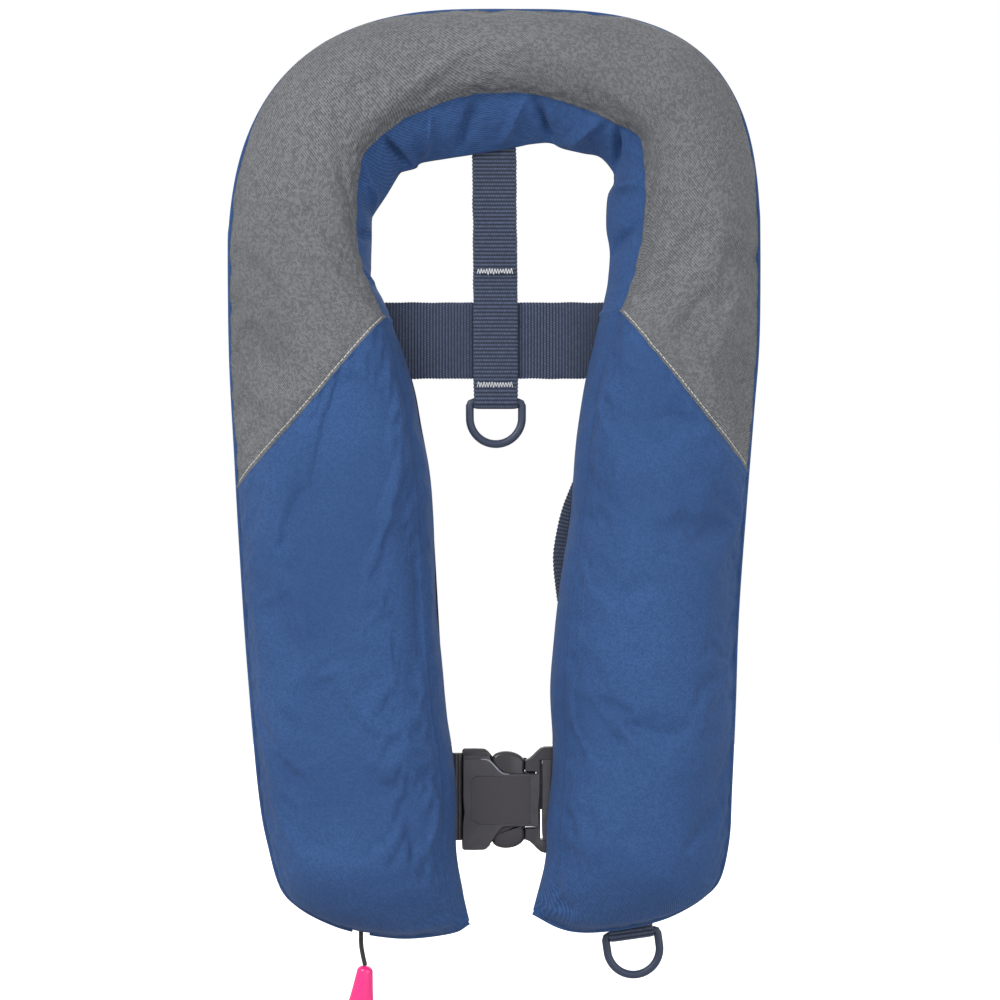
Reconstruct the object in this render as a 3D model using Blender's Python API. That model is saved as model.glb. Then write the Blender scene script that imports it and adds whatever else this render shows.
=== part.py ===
"""Inflatable life jacket, hanging upright: +Z up, the cover's front faces -Y, the left lobe lies at -X.

The origin is on the neck, at the middle of the collar's inner top edge. Sizes are in millimetres and
metres() turns them into Blender's units. Every shell, ribbon and pad is a loft of rings that go there and
back across the piece, so each one is a closed solid.
"""

import math

import bmesh
import bpy
from mathutils import Matrix, Vector

# Cover
COVER_WIDTH = 347.0
COVER_HEIGHT = 605.0
PATTERN_WIDTH = 347.0          # the outline points below are drawn at this base size, then graded
PATTERN_HEIGHT = 605.0
COLLAR_TOP = 92.0
WIDEST_LEVEL = -88.0
CORNER_POWER = {"left": 2.7, "right": 3.3}
SEAM_OUTER_LEVEL = {"left": -218.0, "right": -207.0}
SEAM_INNER_LEVEL = {"left": -111.0, "right": -107.0}
EDGE_Y = 12.5                  # where the front panels meet the bound edge
RIDGE_Y = -14.0                # collar ridge, where the front meets the inner wall
LOBE_RIDGE_Y = -9.0
WALL_BACK_Y = 14.5
BACK_PANEL_Y = 16.4
FABRIC = 1.6                   # cover cloth with its lining
INNER_STRIP = 9.0              # width of the strip along each lobe's inner side
BINDING_RADIUS = 2.4
BINDING_SEAM = 0.7             # between the bound edge and the panels
HEM_FADE = 0.16                # share of a lobe over which it flattens towards the hem
CLOSURE_WIDTH = 16.0
CLOSURE_THICK = 1.6
CLOSURE_Y = {"hook": 10.9, "loop": 13.2}

# Webbing
WEB_THICK = 1.8
BELT_WIDTH = 50.0
STRAP_WIDTH = 28.8
BELT_Y = {"buckle": 31.0, "middle": 41.0, "back": 32.0}
BACK_BELT_LEVEL = -123.0
BUCKLE_LEVEL = -423.7
OUTER_FOLD_X = 132.5
INNER_BEND_X = {"left": -72.0, "right": 64.0}
INNER_BEND_LEVEL = -271.0
TOP_FOLD_X = 138.0
BACK_BELT_REACH = 112.0
ADJUSTER_X = -94.0
KEEPER_X = 90.0
BELT_LOOP_SETBACK = 0.44       # belt widths from the belt's fold to its loop, where the belt lies flat
BELT_LOOP_WIDTH = 14.0
BELT_START_X = 68.0
WEB_TAIL = 39.0                # free length of each webbing end that is folded round a buckle bar
STRAP_TOP = 24.0
STRAP_TAIL_LEVEL = -66.0
TACKS = {"bar_tack_upper": (-78.0, 3.4), "bar_tack_lower": (-152.0, 0.0)}   # level, strap's lean there
TACK_HEIGHT = 3.2

# Rings
RING_BAR = 4.4
RING_DROP = 27.4               # from the bar's centre to the round end's centre line
BACK_RING = (1.2, -163.4)      # across and up, at the back belt's depth
FRONT_RING_PLACE = (89.6, 23.5, -510.2)
FRONT_RING_TILT = 8.0
TAB_LENGTH = 30.0

# Buckle, about its own centre line
BUCKLE_THICK = 14.0
BUCKLE_WALL = 2.4
BUCKLE_HALF = BELT_WIDTH / 2 + 8.8
MOUTH_X = 27.0
MOUTH_HALF = 17.7
BAR_SIZE = 4.0
BAR_PLAY = 1.1                 # between a buckle bar and the webbing folded round it
HOUSING_BAR_X = -36.5
PLUG_BAR_X = 33.5
LATCH_ROOT = (28.0, 14.4)

# Inflator, which fixes how deep the padded front is
CYLINDER_DIAMETER = 34.0
CYLINDER_LENGTH = 146.0
CYLINDER_WALL = 1.7
CYLINDER_X = -97.0
CYLINDER_Y = EDGE_Y - 6.5 - CYLINDER_DIAMETER / 2
CROWN_Y = CYLINDER_Y - CYLINDER_DIAMETER / 2 - 4.0      # foremost line of the padded front
INFLATOR_TOP = -416.0
INFLATOR_SIZE = (34.0, 22.0, 32.0)
NECK_RADIUS = 6.0
NECK_DEPTH = 16.0
COLLAR_RISE = 6.0              # collar round the cylinder's neck, above the inflator's body
LIFTING_LOOP_LENGTH = 65.0
CAP_DIAMETER = 24.0
CAP_LENGTH = 27.0
LEVER_Y = 7.3
CORD_DIAMETER = 3.0
TOGGLE_LEAN = 7.0
CORD_EXIT = (-86.5, 14.2, -512.5)
CORD_OPENING = 14.0            # length of hem left unbound where the cord comes out

# Bladder and oral inflation
BLADDER_END = {"left": 0.74, "right": 0.9}              # share of each lobe that the bladder reaches down
BLADDER_BACK_Y = 10.4
BLADDER_DEPTH = -CROWN_Y - 10.0
ORAL_TUBE = (100.0, -330.0)
ORAL_RADIUS = 6.5
ORAL_LENGTH = 90.0
VALVE_LENGTH = 18.0
ORAL_Y = CROWN_Y + 12.5

GAP = 0.3                      # clearance between touching pieces

BLUE = ("cover_blue", (0.05, 0.12, 0.33), 0.75, 0.0)
GREY = ("cover_grey", (0.16, 0.16, 0.155), 0.8, 0.0)
NAVY = ("webbing_navy", (0.035, 0.05, 0.1), 0.8, 0.0)
LINING = ("lining_black", (0.02, 0.02, 0.025), 0.85, 0.0)
PLASTIC = ("plastic_black", (0.055, 0.055, 0.065), 0.4, 0.0)
RING_PLASTIC = ("plastic_navy", (0.03, 0.05, 0.11), 0.45, 0.0)
PINK = ("toggle_pink", (1.0, 0.05, 0.2), 0.3, 0.0)
THREAD = ("thread_white", (0.85, 0.85, 0.85), 0.7, 0.0)
YELLOW = ("bladder_yellow", (0.9, 0.75, 0.03), 0.55, 0.0)
STEEL = ("cylinder_steel", (0.35, 0.36, 0.36), 0.35, 1.0)
GREEN = ("clip_green", (0.05, 0.5, 0.1), 0.4, 0.0)
RUBBER = ("tube_black", (0.02, 0.02, 0.02), 0.6, 0.0)

# Outline points of the pattern from the top centre down to the hem's inner tip. x grows away from the
# middle on both sides. The collar's outer edge is a superellipse, so the outer list starts below it.
OUTER = {
    "left": [(172.4, -135), (169, -200), (166, -255), (160.6, -336), (153, -420), (146.5, -455),
             (139, -480), (127.4, -492.7), (109.8, -502.5), (89.7, -509), (58.5, -513),
             (27.3, -509.5), (15.6, -503.5)],
    "right": [(172.8, -122), (169, -174), (160, -291), (157.3, -363), (155, -415), (153.4, -447),
              (147.6, -473.5), (136.5, -486.2), (120.9, -496), (104, -502.5), (80, -507.5),
              (58, -509), (42, -506), (24.7, -497)],
}
INNER = {
    "left": [(0, 0), (14.6, -3.3), (48.8, -9), (64, -19), (75, -38), (79, -60), (78, -84), (70, -103),
             (54, -147), (47.5, -178), (41, -222), (34.4, -330), (31, -365), (26.7, -393),
             (24.3, -420), (24.7, -460), (15.6, -503.5)],
    "right": [(0, 0), (14.3, 2.6), (37, 4.6), (62, -2), (75, -14), (74, -40), (75.5, -65), (74.5, -85),
              (62.4, -135), (54.6, -185), (48.8, -239), (43, -285), (37.1, -343), (38, -388),
              (34.8, -435), (33.8, -460), (24.7, -497)],
}
RIDGE = {
    "left": [(0, 37.5), (13.7, 37), (35, 32), (58.5, 21.5), (80, 5), (89, -25), (89, -56), (83, -86),
             (72.8, -111)],
    "right": [(0, 37.5), (17.6, 37.7), (37.7, 34.5), (67.6, 22), (90, 7), (98.8, -22.8), (98, -50.7),
              (92.3, -80.6), (83.2, -107)],
}
SIGN = {"left": -1.0, "right": 1.0}


# ---------------------------------------------------------------- small helpers
def grade(point):
    """A pattern point (x, z) at the cover's real size."""
    return Vector((point[0] * COVER_WIDTH / PATTERN_WIDTH, point[1] * COVER_HEIGHT / PATTERN_HEIGHT))


def grade_x(x):
    return x * COVER_WIDTH / PATTERN_WIDTH


def grade_z(z):
    return z * COVER_HEIGHT / PATTERN_HEIGHT


def mix(a, b, t):
    return a + (b - a) * t


def smooth_line(points, steps=8):
    """A Catmull-Rom curve through the points, as a fine polyline."""
    padded = [points[0] * 2 - points[1]] + points + [points[-1] * 2 - points[-2]]
    line = []
    for p0, p1, p2, p3 in zip(padded, padded[1:], padded[2:], padded[3:]):
        for i in range(steps):
            t = i / steps
            line.append(0.5 * (2 * p1 + (p2 - p0) * t + (2 * p0 - 5 * p1 + 4 * p2 - p3) * t * t
                               + (3 * p1 - p0 - 3 * p2 + p3) * t ** 3))
    return line + [points[-1]]


def lengths(line):
    total = [0.0]
    for a, b in zip(line, line[1:]):
        total.append(total[-1] + (b - a).length)
    return total


def along(line, share):
    """The point at a share of the polyline's length."""
    total = lengths(line)
    goal = share * total[-1]
    for i in range(1, len(line)):
        if total[i] >= goal or i == len(line) - 1:
            part = (goal - total[i - 1]) / max(total[i] - total[i - 1], 1e-9)
            return mix(line[i - 1], line[i], part)


def cut_at_level(line, level):
    """Splits a polyline where it first passes below the level."""
    for i in range(1, len(line)):
        if line[i].y < level:
            t = (line[i - 1].y - level) / (line[i - 1].y - line[i].y)
            point = mix(line[i - 1], line[i], t)
            return line[:i] + [point], [point] + line[i:]
    return line, line[-1:]


def inset(line, distance, side):
    """Moves a polyline that runs from the top to the hem into the cover by a distance."""
    moved = []
    for i, point in enumerate(line):
        tangent = (line[min(i + 1, len(line) - 1)] - line[max(i - 1, 0)]).normalized()
        moved.append(point + Vector((tangent.y, -tangent.x)) * distance * SIGN[side])
    return moved


def metres(point):
    return Vector(point) * 0.001


# ---------------------------------------------------------------- Blender objects
def clear_scene():
    for obj in list(bpy.data.objects):
        bpy.data.objects.remove(obj, do_unlink=True)


def material(spec):
    name, colour, roughness, metallic = spec
    found = bpy.data.materials.get(name)
    if found:
        return found
    made = bpy.data.materials.new(name)
    made.use_nodes = True
    shader = made.node_tree.nodes["Principled BSDF"]
    shader.inputs["Base Color"].default_value = (*colour, 1.0)
    shader.inputs["Roughness"].default_value = roughness
    shader.inputs["Metallic"].default_value = metallic
    return made


def finish_mesh(name, mesh, finish, smooth=True):
    bmesh.ops.recalc_face_normals(mesh, faces=mesh.faces)
    data = bpy.data.meshes.new(name)
    mesh.to_mesh(data)
    mesh.free()
    obj = bpy.data.objects.new(name, data)
    bpy.context.scene.collection.objects.link(obj)
    data.materials.append(material(finish))
    if smooth:
        data.shade_smooth()
        data.set_sharp_from_angle(angle=math.radians(35))
    return obj


def place(obj, origin):
    """Puts the object's origin on a point, its shape staying where it is."""
    origin = metres(origin)
    obj.data.transform(Matrix.Translation(-origin))
    obj.location = origin
    return obj


def add_rings(mesh, rings, closed=False):
    """A closed solid from rings that go there and back across the piece."""
    rows = [[mesh.verts.new(metres(p)) for p in ring] for ring in rings]
    size = len(rows[0])
    pairs = list(zip(rows, rows[1:])) + ([(rows[-1], rows[0])] if closed else [])
    for a, b in pairs:
        for i in range(size):
            j = (i + 1) % size
            mesh.faces.new((a[i], a[j], b[j], b[i]))
    if closed:
        return
    for row in (rows[0], rows[-1]):
        for i in range(size // 2 - 1):
            mesh.faces.new((row[i], row[i + 1], row[size - 2 - i], row[size - 1 - i]))


def loft(name, rings, finish, closed=False):
    mesh = bmesh.new()
    add_rings(mesh, rings, closed)
    return finish_mesh(name, mesh, finish)


def turned(name, profile, finish, origin, axis=(0, 0, 1), steps=20, hollow=False):
    """A turned piece from profile points (radius, distance along the axis). A solid's profile runs from the
    axis back to the axis; a hollow piece's goes round its wall and closes on itself."""
    mesh = bmesh.new()
    frame = Vector((0, 0, 1)).rotation_difference(Vector(axis)).to_matrix()
    rows = []
    for radius, height in profile:
        row = []
        for i in range(steps if radius > 0 else 1):
            turn = 2 * math.pi * i / steps
            point = Vector((radius * math.cos(turn), radius * math.sin(turn), height))
            row.append(mesh.verts.new(metres(Vector(origin) + frame @ point)))
        rows.append(row)
    pairs = list(zip(rows, rows[1:])) + ([(rows[-1], rows[0])] if hollow else [])
    for a, b in pairs:
        for i in range(steps):
            j = (i + 1) % steps
            if len(a) > 1 and len(b) > 1:
                mesh.faces.new((a[i], a[j], b[j], b[i]))
            elif len(b) > 1:
                mesh.faces.new((a[0], b[j], b[i]))
            elif len(a) > 1:
                mesh.faces.new((a[i], a[j], b[0]))
    return finish_mesh(name, mesh, finish)


def plate(name, outline, low_y, high_y, finish, bevel=0.0, tilt=0.0, pivot=(0, 0)):
    """A flat outline of (x, z) points, extruded from low_y to high_y and turned about pivot."""
    mesh = bmesh.new()
    spin = Matrix.Rotation(math.radians(tilt), 2)
    points = [Vector(pivot) + spin @ (Vector(p) - Vector(pivot)) for p in outline]
    face = mesh.faces.new([mesh.verts.new(metres((p.x, low_y, p.y))) for p in points])
    moved = bmesh.ops.extrude_face_region(mesh, geom=[face])["geom"]
    for item in moved:
        if isinstance(item, bmesh.types.BMVert):
            item.co.y = high_y * 0.001
    if bevel:
        flat_edges = [e for e in mesh.edges if abs(e.verts[0].co.y - e.verts[1].co.y) < 1e-7]
        bmesh.ops.bevel(mesh, geom=flat_edges, offset=bevel * 0.001, segments=1, affect="EDGES")
    return finish_mesh(name, mesh, finish, smooth=False)


def block(name, low, high, finish, bevel=0.0):
    outline = [(low[0], low[2]), (high[0], low[2]), (high[0], high[2]), (low[0], high[2])]
    return plate(name, outline, low[1], high[1], finish, bevel)


def helper(obj):
    obj.hide_render = True
    obj.display_type = "WIRE"
    return obj


def combine(target, other, operation):
    step = target.modifiers.new(operation.lower(), "BOOLEAN")
    step.operation = operation
    step.solver = "EXACT"
    step.object = helper(other)
    return target


def tube(name, points, radius, finish, sides=2, closed=False):
    """A round bar along the points."""
    curve = bpy.data.curves.new(name, "CURVE")
    curve.dimensions = "3D"
    curve.bevel_depth = radius * 0.001
    curve.bevel_resolution = sides
    curve.use_fill_caps = not closed
    spline = curve.splines.new("POLY")
    spline.points.add(len(points) - 1)
    for target, point in zip(spline.points, points):
        target.co = (*metres(point), 1.0)
    spline.use_cyclic_u = closed
    obj = bpy.data.objects.new(name, curve)
    bpy.context.scene.collection.objects.link(obj)
    curve.materials.append(material(finish))
    return obj


# ---------------------------------------------------------------- cover
class Side:
    """One half of the cover, with its graded outlines from the top centre down to the hem."""

    def __init__(self, side):
        self.side = side
        sign = SIGN[side]
        half = COVER_WIDTH / 2
        rise = grade_z(COLLAR_TOP - WIDEST_LEVEL)
        power = 2 / CORNER_POWER[side]
        collar = []
        for i in range(12):
            turn = math.radians(90 - 90 * i / 12)
            collar.append(Vector((half * math.cos(turn) ** power,
                                  grade_z(WIDEST_LEVEL) + rise * math.sin(turn) ** power)))
        outer = smooth_line([Vector((sign * p.x, p.y)) for p in collar + [grade(q) for q in OUTER[side]]])
        inner = smooth_line([Vector((sign * p.x, p.y)) for p in map(grade, INNER[side])])
        ridge = smooth_line([Vector((sign * p.x, p.y)) for p in map(grade, RIDGE[side])])
        self.silhouette = outer
        panel = inset(outer, 2 * BINDING_RADIUS + BINDING_SEAM, side)
        panel[0].x = 0.0
        self.tip = outer[-1]
        self.outer_yoke, rest = cut_at_level(panel, grade_z(SEAM_OUTER_LEVEL[side]))
        corner = max(range(len(rest)), key=lambda i: abs(rest[i].x) - rest[i].y)
        self.inner_yoke, low = cut_at_level(inner, grade_z(SEAM_INNER_LEVEL[side]) + 3)
        low, _ = cut_at_level(low, self.tip.y + 2 * BINDING_RADIUS + 2)
        self.inner_lobe = low
        self.ridge_yoke = ridge
        strip = inset(low, -INNER_STRIP, side)
        start = max(2, int(len(strip) * 0.12))
        bend = smooth_line([ridge[-1], strip[start]], 6)[:-1]
        self.ridge_lobe = bend + strip[start:]
        self.outer_lobe = rest[: corner + 1]
        hem = rest[corner:]
        goal = self.ridge_lobe[-1]
        near = min(range(len(hem)), key=lambda i: (hem[i] - goal).length)
        self.hem = hem[:near] + [goal]

    def yoke(self, u, t):
        """Flat point of the yoke: u from the outer edge to the ridge, t from the top to the seam."""
        return mix(along(self.outer_yoke, t), along(self.ridge_yoke, t), u)

    def lobe(self, u, v):
        """Flat point of the lobe: u from the outer edge to the ridge, v from the seam to the hem."""
        top = mix(self.outer_lobe[0], self.ridge_lobe[0], u)
        low = along(self.hem, u)
        left = along(self.outer_lobe, v)
        right = along(self.ridge_lobe, v)
        corners = mix(mix(self.outer_lobe[0], self.ridge_lobe[0], u), mix(self.hem[0], self.hem[-1], u), v)
        return mix(top, low, v) + mix(left, right, u) - corners


def hem_fade(v):
    return math.sin(math.pi / 2 * min(1.0, max(0.0, 1 - v) / HEM_FADE)) ** 0.6


def ridge_depth(v):
    """Depth of the ridge line of a lobe: it settles below the seam and meets the edge at the hem."""
    settled = mix(RIDGE_Y, LOBE_RIDGE_Y, min(1.0, v / 0.15))
    return mix(EDGE_Y, settled, hem_fade(v))


def front_depth(u, ridge_y, fade):
    """Depth of the front across the cover: steep at the outer edge, fullest at the middle."""
    base = mix(EDGE_Y, ridge_y, u)
    fullness = (mix(EDGE_Y, ridge_y, 0.5) - CROWN_Y) * fade
    return base - fullness * max(0.0, 4 * u * (1 - u)) ** 0.55


def towards(point, centre, distance):
    return point + (centre - point).normalized() * distance


def shell_ring(surface, centres):
    """There along the outside and back along the inside of a cloth shell."""
    inside = [towards(p, c, FABRIC) for p, c in zip(surface, centres)]
    return surface + inside[::-1]


def front_ring(flat, deep_flat, ridge_y, fade, count=9):
    """A ring of a front panel at one station: flat(u) is the panel, deep_flat(u) where its padding lies."""
    surface, centres = [], []
    span = (flat(1.0) - flat(0.0)).length
    for i in range(count):
        u = min(max(i / (count - 1), GAP / span), 1 - GAP / span)
        p = flat(u)
        surface.append(Vector((p.x, front_depth(u, ridge_y, fade), p.y)))
        c = deep_flat(min(max(u, 0.3), 0.7))
        centres.append(Vector((c.x, EDGE_Y - 5, c.y)))
    return shell_ring(surface, centres)


def wall_ring(ridge, inner, centre, ridge_y, back_y, count):
    """A ring of the inner wall, which bulges a little between the ridge and the back edge."""
    surface = []
    span = math.hypot((inner - ridge).length, back_y - ridge_y)
    for i in range(count):
        w = mix(GAP / span * 1.5, 1.0, i / (count - 1))
        p = mix(ridge, inner, w)
        bulge = math.sin(math.pi * w)
        p = p + (inner - ridge).normalized() * bulge * 1.5
        surface.append(Vector((p.x, mix(ridge_y, back_y, w) - 3.0 * bulge, p.y)))
    return shell_ring(surface, [Vector((centre.x, EDGE_Y - 5, centre.y))] * count)


def make_yoke(halves):
    rings = []
    for half, shares in ((halves["left"], [1 - i / 16 for i in range(17)]),
                         (halves["right"], [i / 16 for i in range(1, 17)])):
        for t in shares:
            t = min(t, 0.998)
            rings.append(front_ring(lambda u: half.yoke(u, t), lambda u: half.yoke(u, t), RIDGE_Y, 1.0))
    return loft("cover_yoke_front", rings, GREY)


def make_lobe_front(half):
    rings = []
    for i in range(17):
        v = mix(0.0018, 1.0, i / 16)
        deep = min(v, 1 - HEM_FADE)
        rings.append(front_ring(lambda u: half.lobe(u, v), lambda u: half.lobe(u, deep),
                                ridge_depth(v), hem_fade(v)))
    return loft(f"cover_{half.side}_front", rings, BLUE)


def make_inner_collar(halves):
    rings = []
    for half, shares in ((halves["left"], [1 - i / 18 for i in range(19)]),
                         (halves["right"], [i / 18 for i in range(1, 19)])):
        for t in shares:
            t = min(t, 0.997)
            rings.append(wall_ring(along(half.ridge_yoke, t), along(half.inner_yoke, t),
                                   half.yoke(0.7, t), RIDGE_Y, WALL_BACK_Y, 6))
    return loft("cover_inner_collar", rings, BLUE)


def make_lobe_wall(half):
    rings = []
    for i in range(19):
        v = mix(0.002, 1.0, i / 18)
        back = mix(EDGE_Y + 1, WALL_BACK_Y, hem_fade(v))
        rings.append(wall_ring(along(half.ridge_lobe, v), along(half.inner_lobe, v),
                               half.lobe(0.7, min(v, 1 - HEM_FADE)), ridge_depth(v), back, 5))
    return loft(f"cover_{half.side}_inner", rings, BLUE)


def make_back_panel(halves):
    """One flat U-shaped panel that closes the cover's back."""
    outline = []
    for side in ("left", "right"):
        half = halves[side]
        edge = [along(half.outer_yoke, i / 16) for i in range(17)]
        edge += [along(half.outer_lobe, i / 10) for i in range(1, 11)]
        edge += [along(half.hem, i / 8) for i in range(1, 9)]
        edge += [along(half.inner_lobe, 1 - i / 14) for i in range(15)]
        edge += [along(half.inner_yoke, 1 - i / 16) for i in range(1, 17)]
        outline.append(edge)
    left, right = outline
    loop = left + right[:-1][::-1]
    corners = [tuple(p) for p in loop[:-1]]
    return plate("cover_back_panel", corners, BACK_PANEL_Y, BACK_PANEL_Y + FABRIC, LINING)


def edge_path(half, first, last, count):
    line = inset(half.silhouette, BINDING_RADIUS, half.side)
    return [along(line, mix(first, last, i / (count - 1))) for i in range(count)]


def make_binding(halves):
    """The bound edge. It is open where the pull cord leaves the left hem."""
    left, right = halves["left"], halves["right"]
    total = lengths(left.silhouette)
    reach = abs(grade_x(CORD_EXIT[0])) + CORD_OPENING / 2 - 1
    near_hem = [i for i, p in enumerate(left.silhouette) if p.y < grade_z(-505) and abs(p.x) < reach]
    stop = total[near_hem[0]] / total[-1]
    again = stop + CORD_OPENING / total[-1]
    line = edge_path(left, stop, 0.0, 52)[:-1] + edge_path(right, 0.0, 0.998, 60)
    tube("edge_binding", [(p.x, EDGE_Y + 1, p.y) for p in line], BINDING_RADIUS, BLUE, sides=1)
    tail = edge_path(left, again, 0.998, 8)
    tube("hem_binding_left", [(p.x, EDGE_Y + 1, p.y) for p in tail], BINDING_RADIUS, BLUE, sides=1)


def make_closure(halves):
    """Hook strip and loop strip along each side, just inside the bound edge."""
    for kind, low in CLOSURE_Y.items():
        high = low + CLOSURE_THICK
        for side, half in halves.items():
            outer = inset(half.outer_yoke[8:] + half.outer_lobe[1:], 7.0, side)
            inner = inset(outer, CLOSURE_WIDTH, side)
            rings = []
            for i in range(25):
                share = mix(0.25, 0.93, i / 24)
                p, q = along(outer, share), along(inner, share)
                rings.append([Vector((p.x, low, p.y)), Vector((q.x, low, q.y)),
                              Vector((q.x, high, q.y)), Vector((p.x, high, p.y))])
            loft(f"{kind}_strip_{side}", rings, LINING)


def bladder_ring(flat, depth):
    """A section across the folded bladder, flat at the back and crowned in front."""
    front, back = [], []
    for i in range(7):
        p = flat(mix(0.26, 0.93, i / 6))
        full = 0.2 + 0.8 * math.sin(math.pi * i / 6) ** 0.6
        front.append(Vector((p.x, BLADDER_BACK_Y - 0.2 - depth * full, p.y)))
        back.append(Vector((p.x, BLADDER_BACK_Y + 0.2, p.y)))
    return front + back[::-1]


def make_bladder(halves):
    """The folded bladder. It lies flat behind the inflator in the left lobe and is fuller elsewhere."""
    rings = []
    for side, half in halves.items():
        rows = [bladder_ring(lambda u: half.yoke(u, i / 14), BLADDER_DEPTH) for i in range(15)]
        for i in range(1, 14):
            v = BLADDER_END[side] * i / 13
            depth = mix(BLADDER_DEPTH, 3.0, min(1.0, v / 0.12)) if side == "left" else BLADDER_DEPTH - 2
            if v > 0.8:
                depth = min(depth, 12.0)
            rows.append(bladder_ring(lambda u: half.lobe(u, v), depth))
        rings += rows[::-1] if side == "left" else rows[1:]
    return loft("bladder", rings, YELLOW)


# ---------------------------------------------------------------- webbing
class Ribbon:
    """Webbing laid in runs, bends and folds in planes of constant Y. A fold's rulings follow its crease."""

    def __init__(self, start, heading, width):
        self.p = Vector(start)
        self.t = Vector((heading[0], 0, heading[1])).normalized()
        self.face = 1.0
        self.width = width
        self.rings = []
        self.mark(self.across(), Vector((0, 1, 0)))

    def across(self):
        return Vector((0, 1, 0)).cross(self.t) * self.width / 2

    def mark(self, reach, normal):
        thick = normal * WEB_THICK / 2 * self.face
        self.rings.append([self.p - reach - thick, self.p + reach - thick,
                           self.p + reach + thick, self.p - reach + thick])

    def follow(self, points, steps=6):
        """Runs smoothly through (x, z) points in the present plane."""
        line = smooth_line([Vector((self.p.x, self.p.z))] + [Vector(p) for p in points], steps)
        for i in range(1, len(line)):
            ahead = line[min(i + 1, len(line) - 1)] - line[i - 1]
            self.t = Vector((ahead.x, 0, ahead.y)).normalized()
            self.p = Vector((line[i].x, self.p.y, line[i].y))
            self.mark(self.across() * self.face, Vector((0, 1, 0)))
        return self

    def fold(self, heading, radius, side, exit_at=None, steps=8):
        """Folds over and leaves along heading (x, z); side is +1 to fold towards +Y and -1 towards -Y.
        With exit_at, the fold starts where it has to for the webbing to leave at that (x, z)."""
        leave = Vector((heading[0], 0, heading[1])).normalized()
        crease = (self.t + leave).normalized()
        lengthwise = self.t.dot(crease)
        crosswise = (self.t - crease * lengthwise).length
        drift = crease * (radius * math.pi * lengthwise / crosswise)
        over = (self.t - crease * lengthwise).normalized()
        up = Vector((0, side, 0))
        reach = crease * (self.width / 2 / crosswise)
        if reach.dot(self.across() * self.face) < 0:
            reach = -reach
        if exit_at:
            self.p = Vector((exit_at[0], self.p.y, exit_at[1])) - drift
        start = self.p.copy()
        for i in range(steps + 1):
            turn = math.pi * i / steps
            shift = over * math.sin(turn) + up * (1 - math.cos(turn))
            self.p = start + shift * radius + drift * (i / steps)
            self.mark(reach, Vector((0, 1, 0)) * math.cos(turn) - over * math.sin(turn) * side)
        self.t = leave
        self.face = -self.face
        return self

    def solid(self, name):
        return loft(name, self.rings, NAVY)


def folded_webbing(name, path, across, width):
    """Webbing that runs along a path of points, its width always along one direction."""
    side = across.normalized() * width / 2
    rings = []
    for i, point in enumerate(path):
        tangent = (path[min(i + 1, len(path) - 1)] - path[max(i - 1, 0)]).normalized()
        normal = across.cross(tangent).normalized() * WEB_THICK / 2
        rings.append([point - side - normal, point + side - normal,
                      point + side + normal, point - side + normal])
    return loft(name, rings, NAVY)


def half_turn(radius, steps=8):
    """Offsets (back, out) on the way round a bar, from its front side to its rear side."""
    turns = [math.pi * i / steps for i in range(steps + 1)]
    return [(-radius * math.cos(turn), radius * math.sin(turn)) for turn in turns]


def make_back_belt():
    reach = grade_x(BACK_BELT_REACH)
    level = grade_z(BACK_BELT_LEVEL)
    Ribbon((-reach, BELT_Y["back"], level), (1, 0), BELT_WIDTH).follow([(reach, level)], 1).solid("belt_back")


def make_waist_belt(side):
    """From the buckle out behind the lobe, over a fold, up a wide bend and over a fold at the back belt."""
    sign = SIGN[side]
    low, high = grade_z(BUCKLE_LEVEL), grade_z(BACK_BELT_LEVEL)
    bend_x, bend_z = grade_x(INNER_BEND_X[side]), grade_z(INNER_BEND_LEVEL)
    fold_x, top_x = sign * grade_x(OUTER_FOLD_X), sign * grade_x(TOP_FOLD_X)
    ribbon = Ribbon((sign * BELT_START_X, BELT_Y["buckle"], low), (sign, 0), BELT_WIDTH)
    ribbon.follow([(fold_x - 16 * sign, low)], 1)
    ribbon.p.x = fold_x
    first = (mix(fold_x, bend_x, 0.64), mix(low, bend_z, 0.48))
    heading = (first[0] - fold_x, first[1] - low)
    ribbon.fold(heading, (BELT_Y["middle"] - BELT_Y["buckle"]) / 2, 1)
    near_top = (mix(bend_x, top_x, 0.70), mix(bend_z, high, 0.72))
    ribbon.follow([first, (bend_x, bend_z), (mix(bend_x, top_x, 0.26), mix(bend_z, high, 0.43)), near_top])
    ribbon.t = Vector((top_x - near_top[0], 0, high - near_top[1])).normalized()
    ribbon.fold((-sign, 0), (BELT_Y["middle"] - BELT_Y["back"]) / 2, -1, exit_at=(top_x, high))
    ribbon.follow([(sign * (grade_x(BACK_BELT_REACH) + GAP), high)], 1)
    return ribbon.solid(f"belt_{side}")


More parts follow.
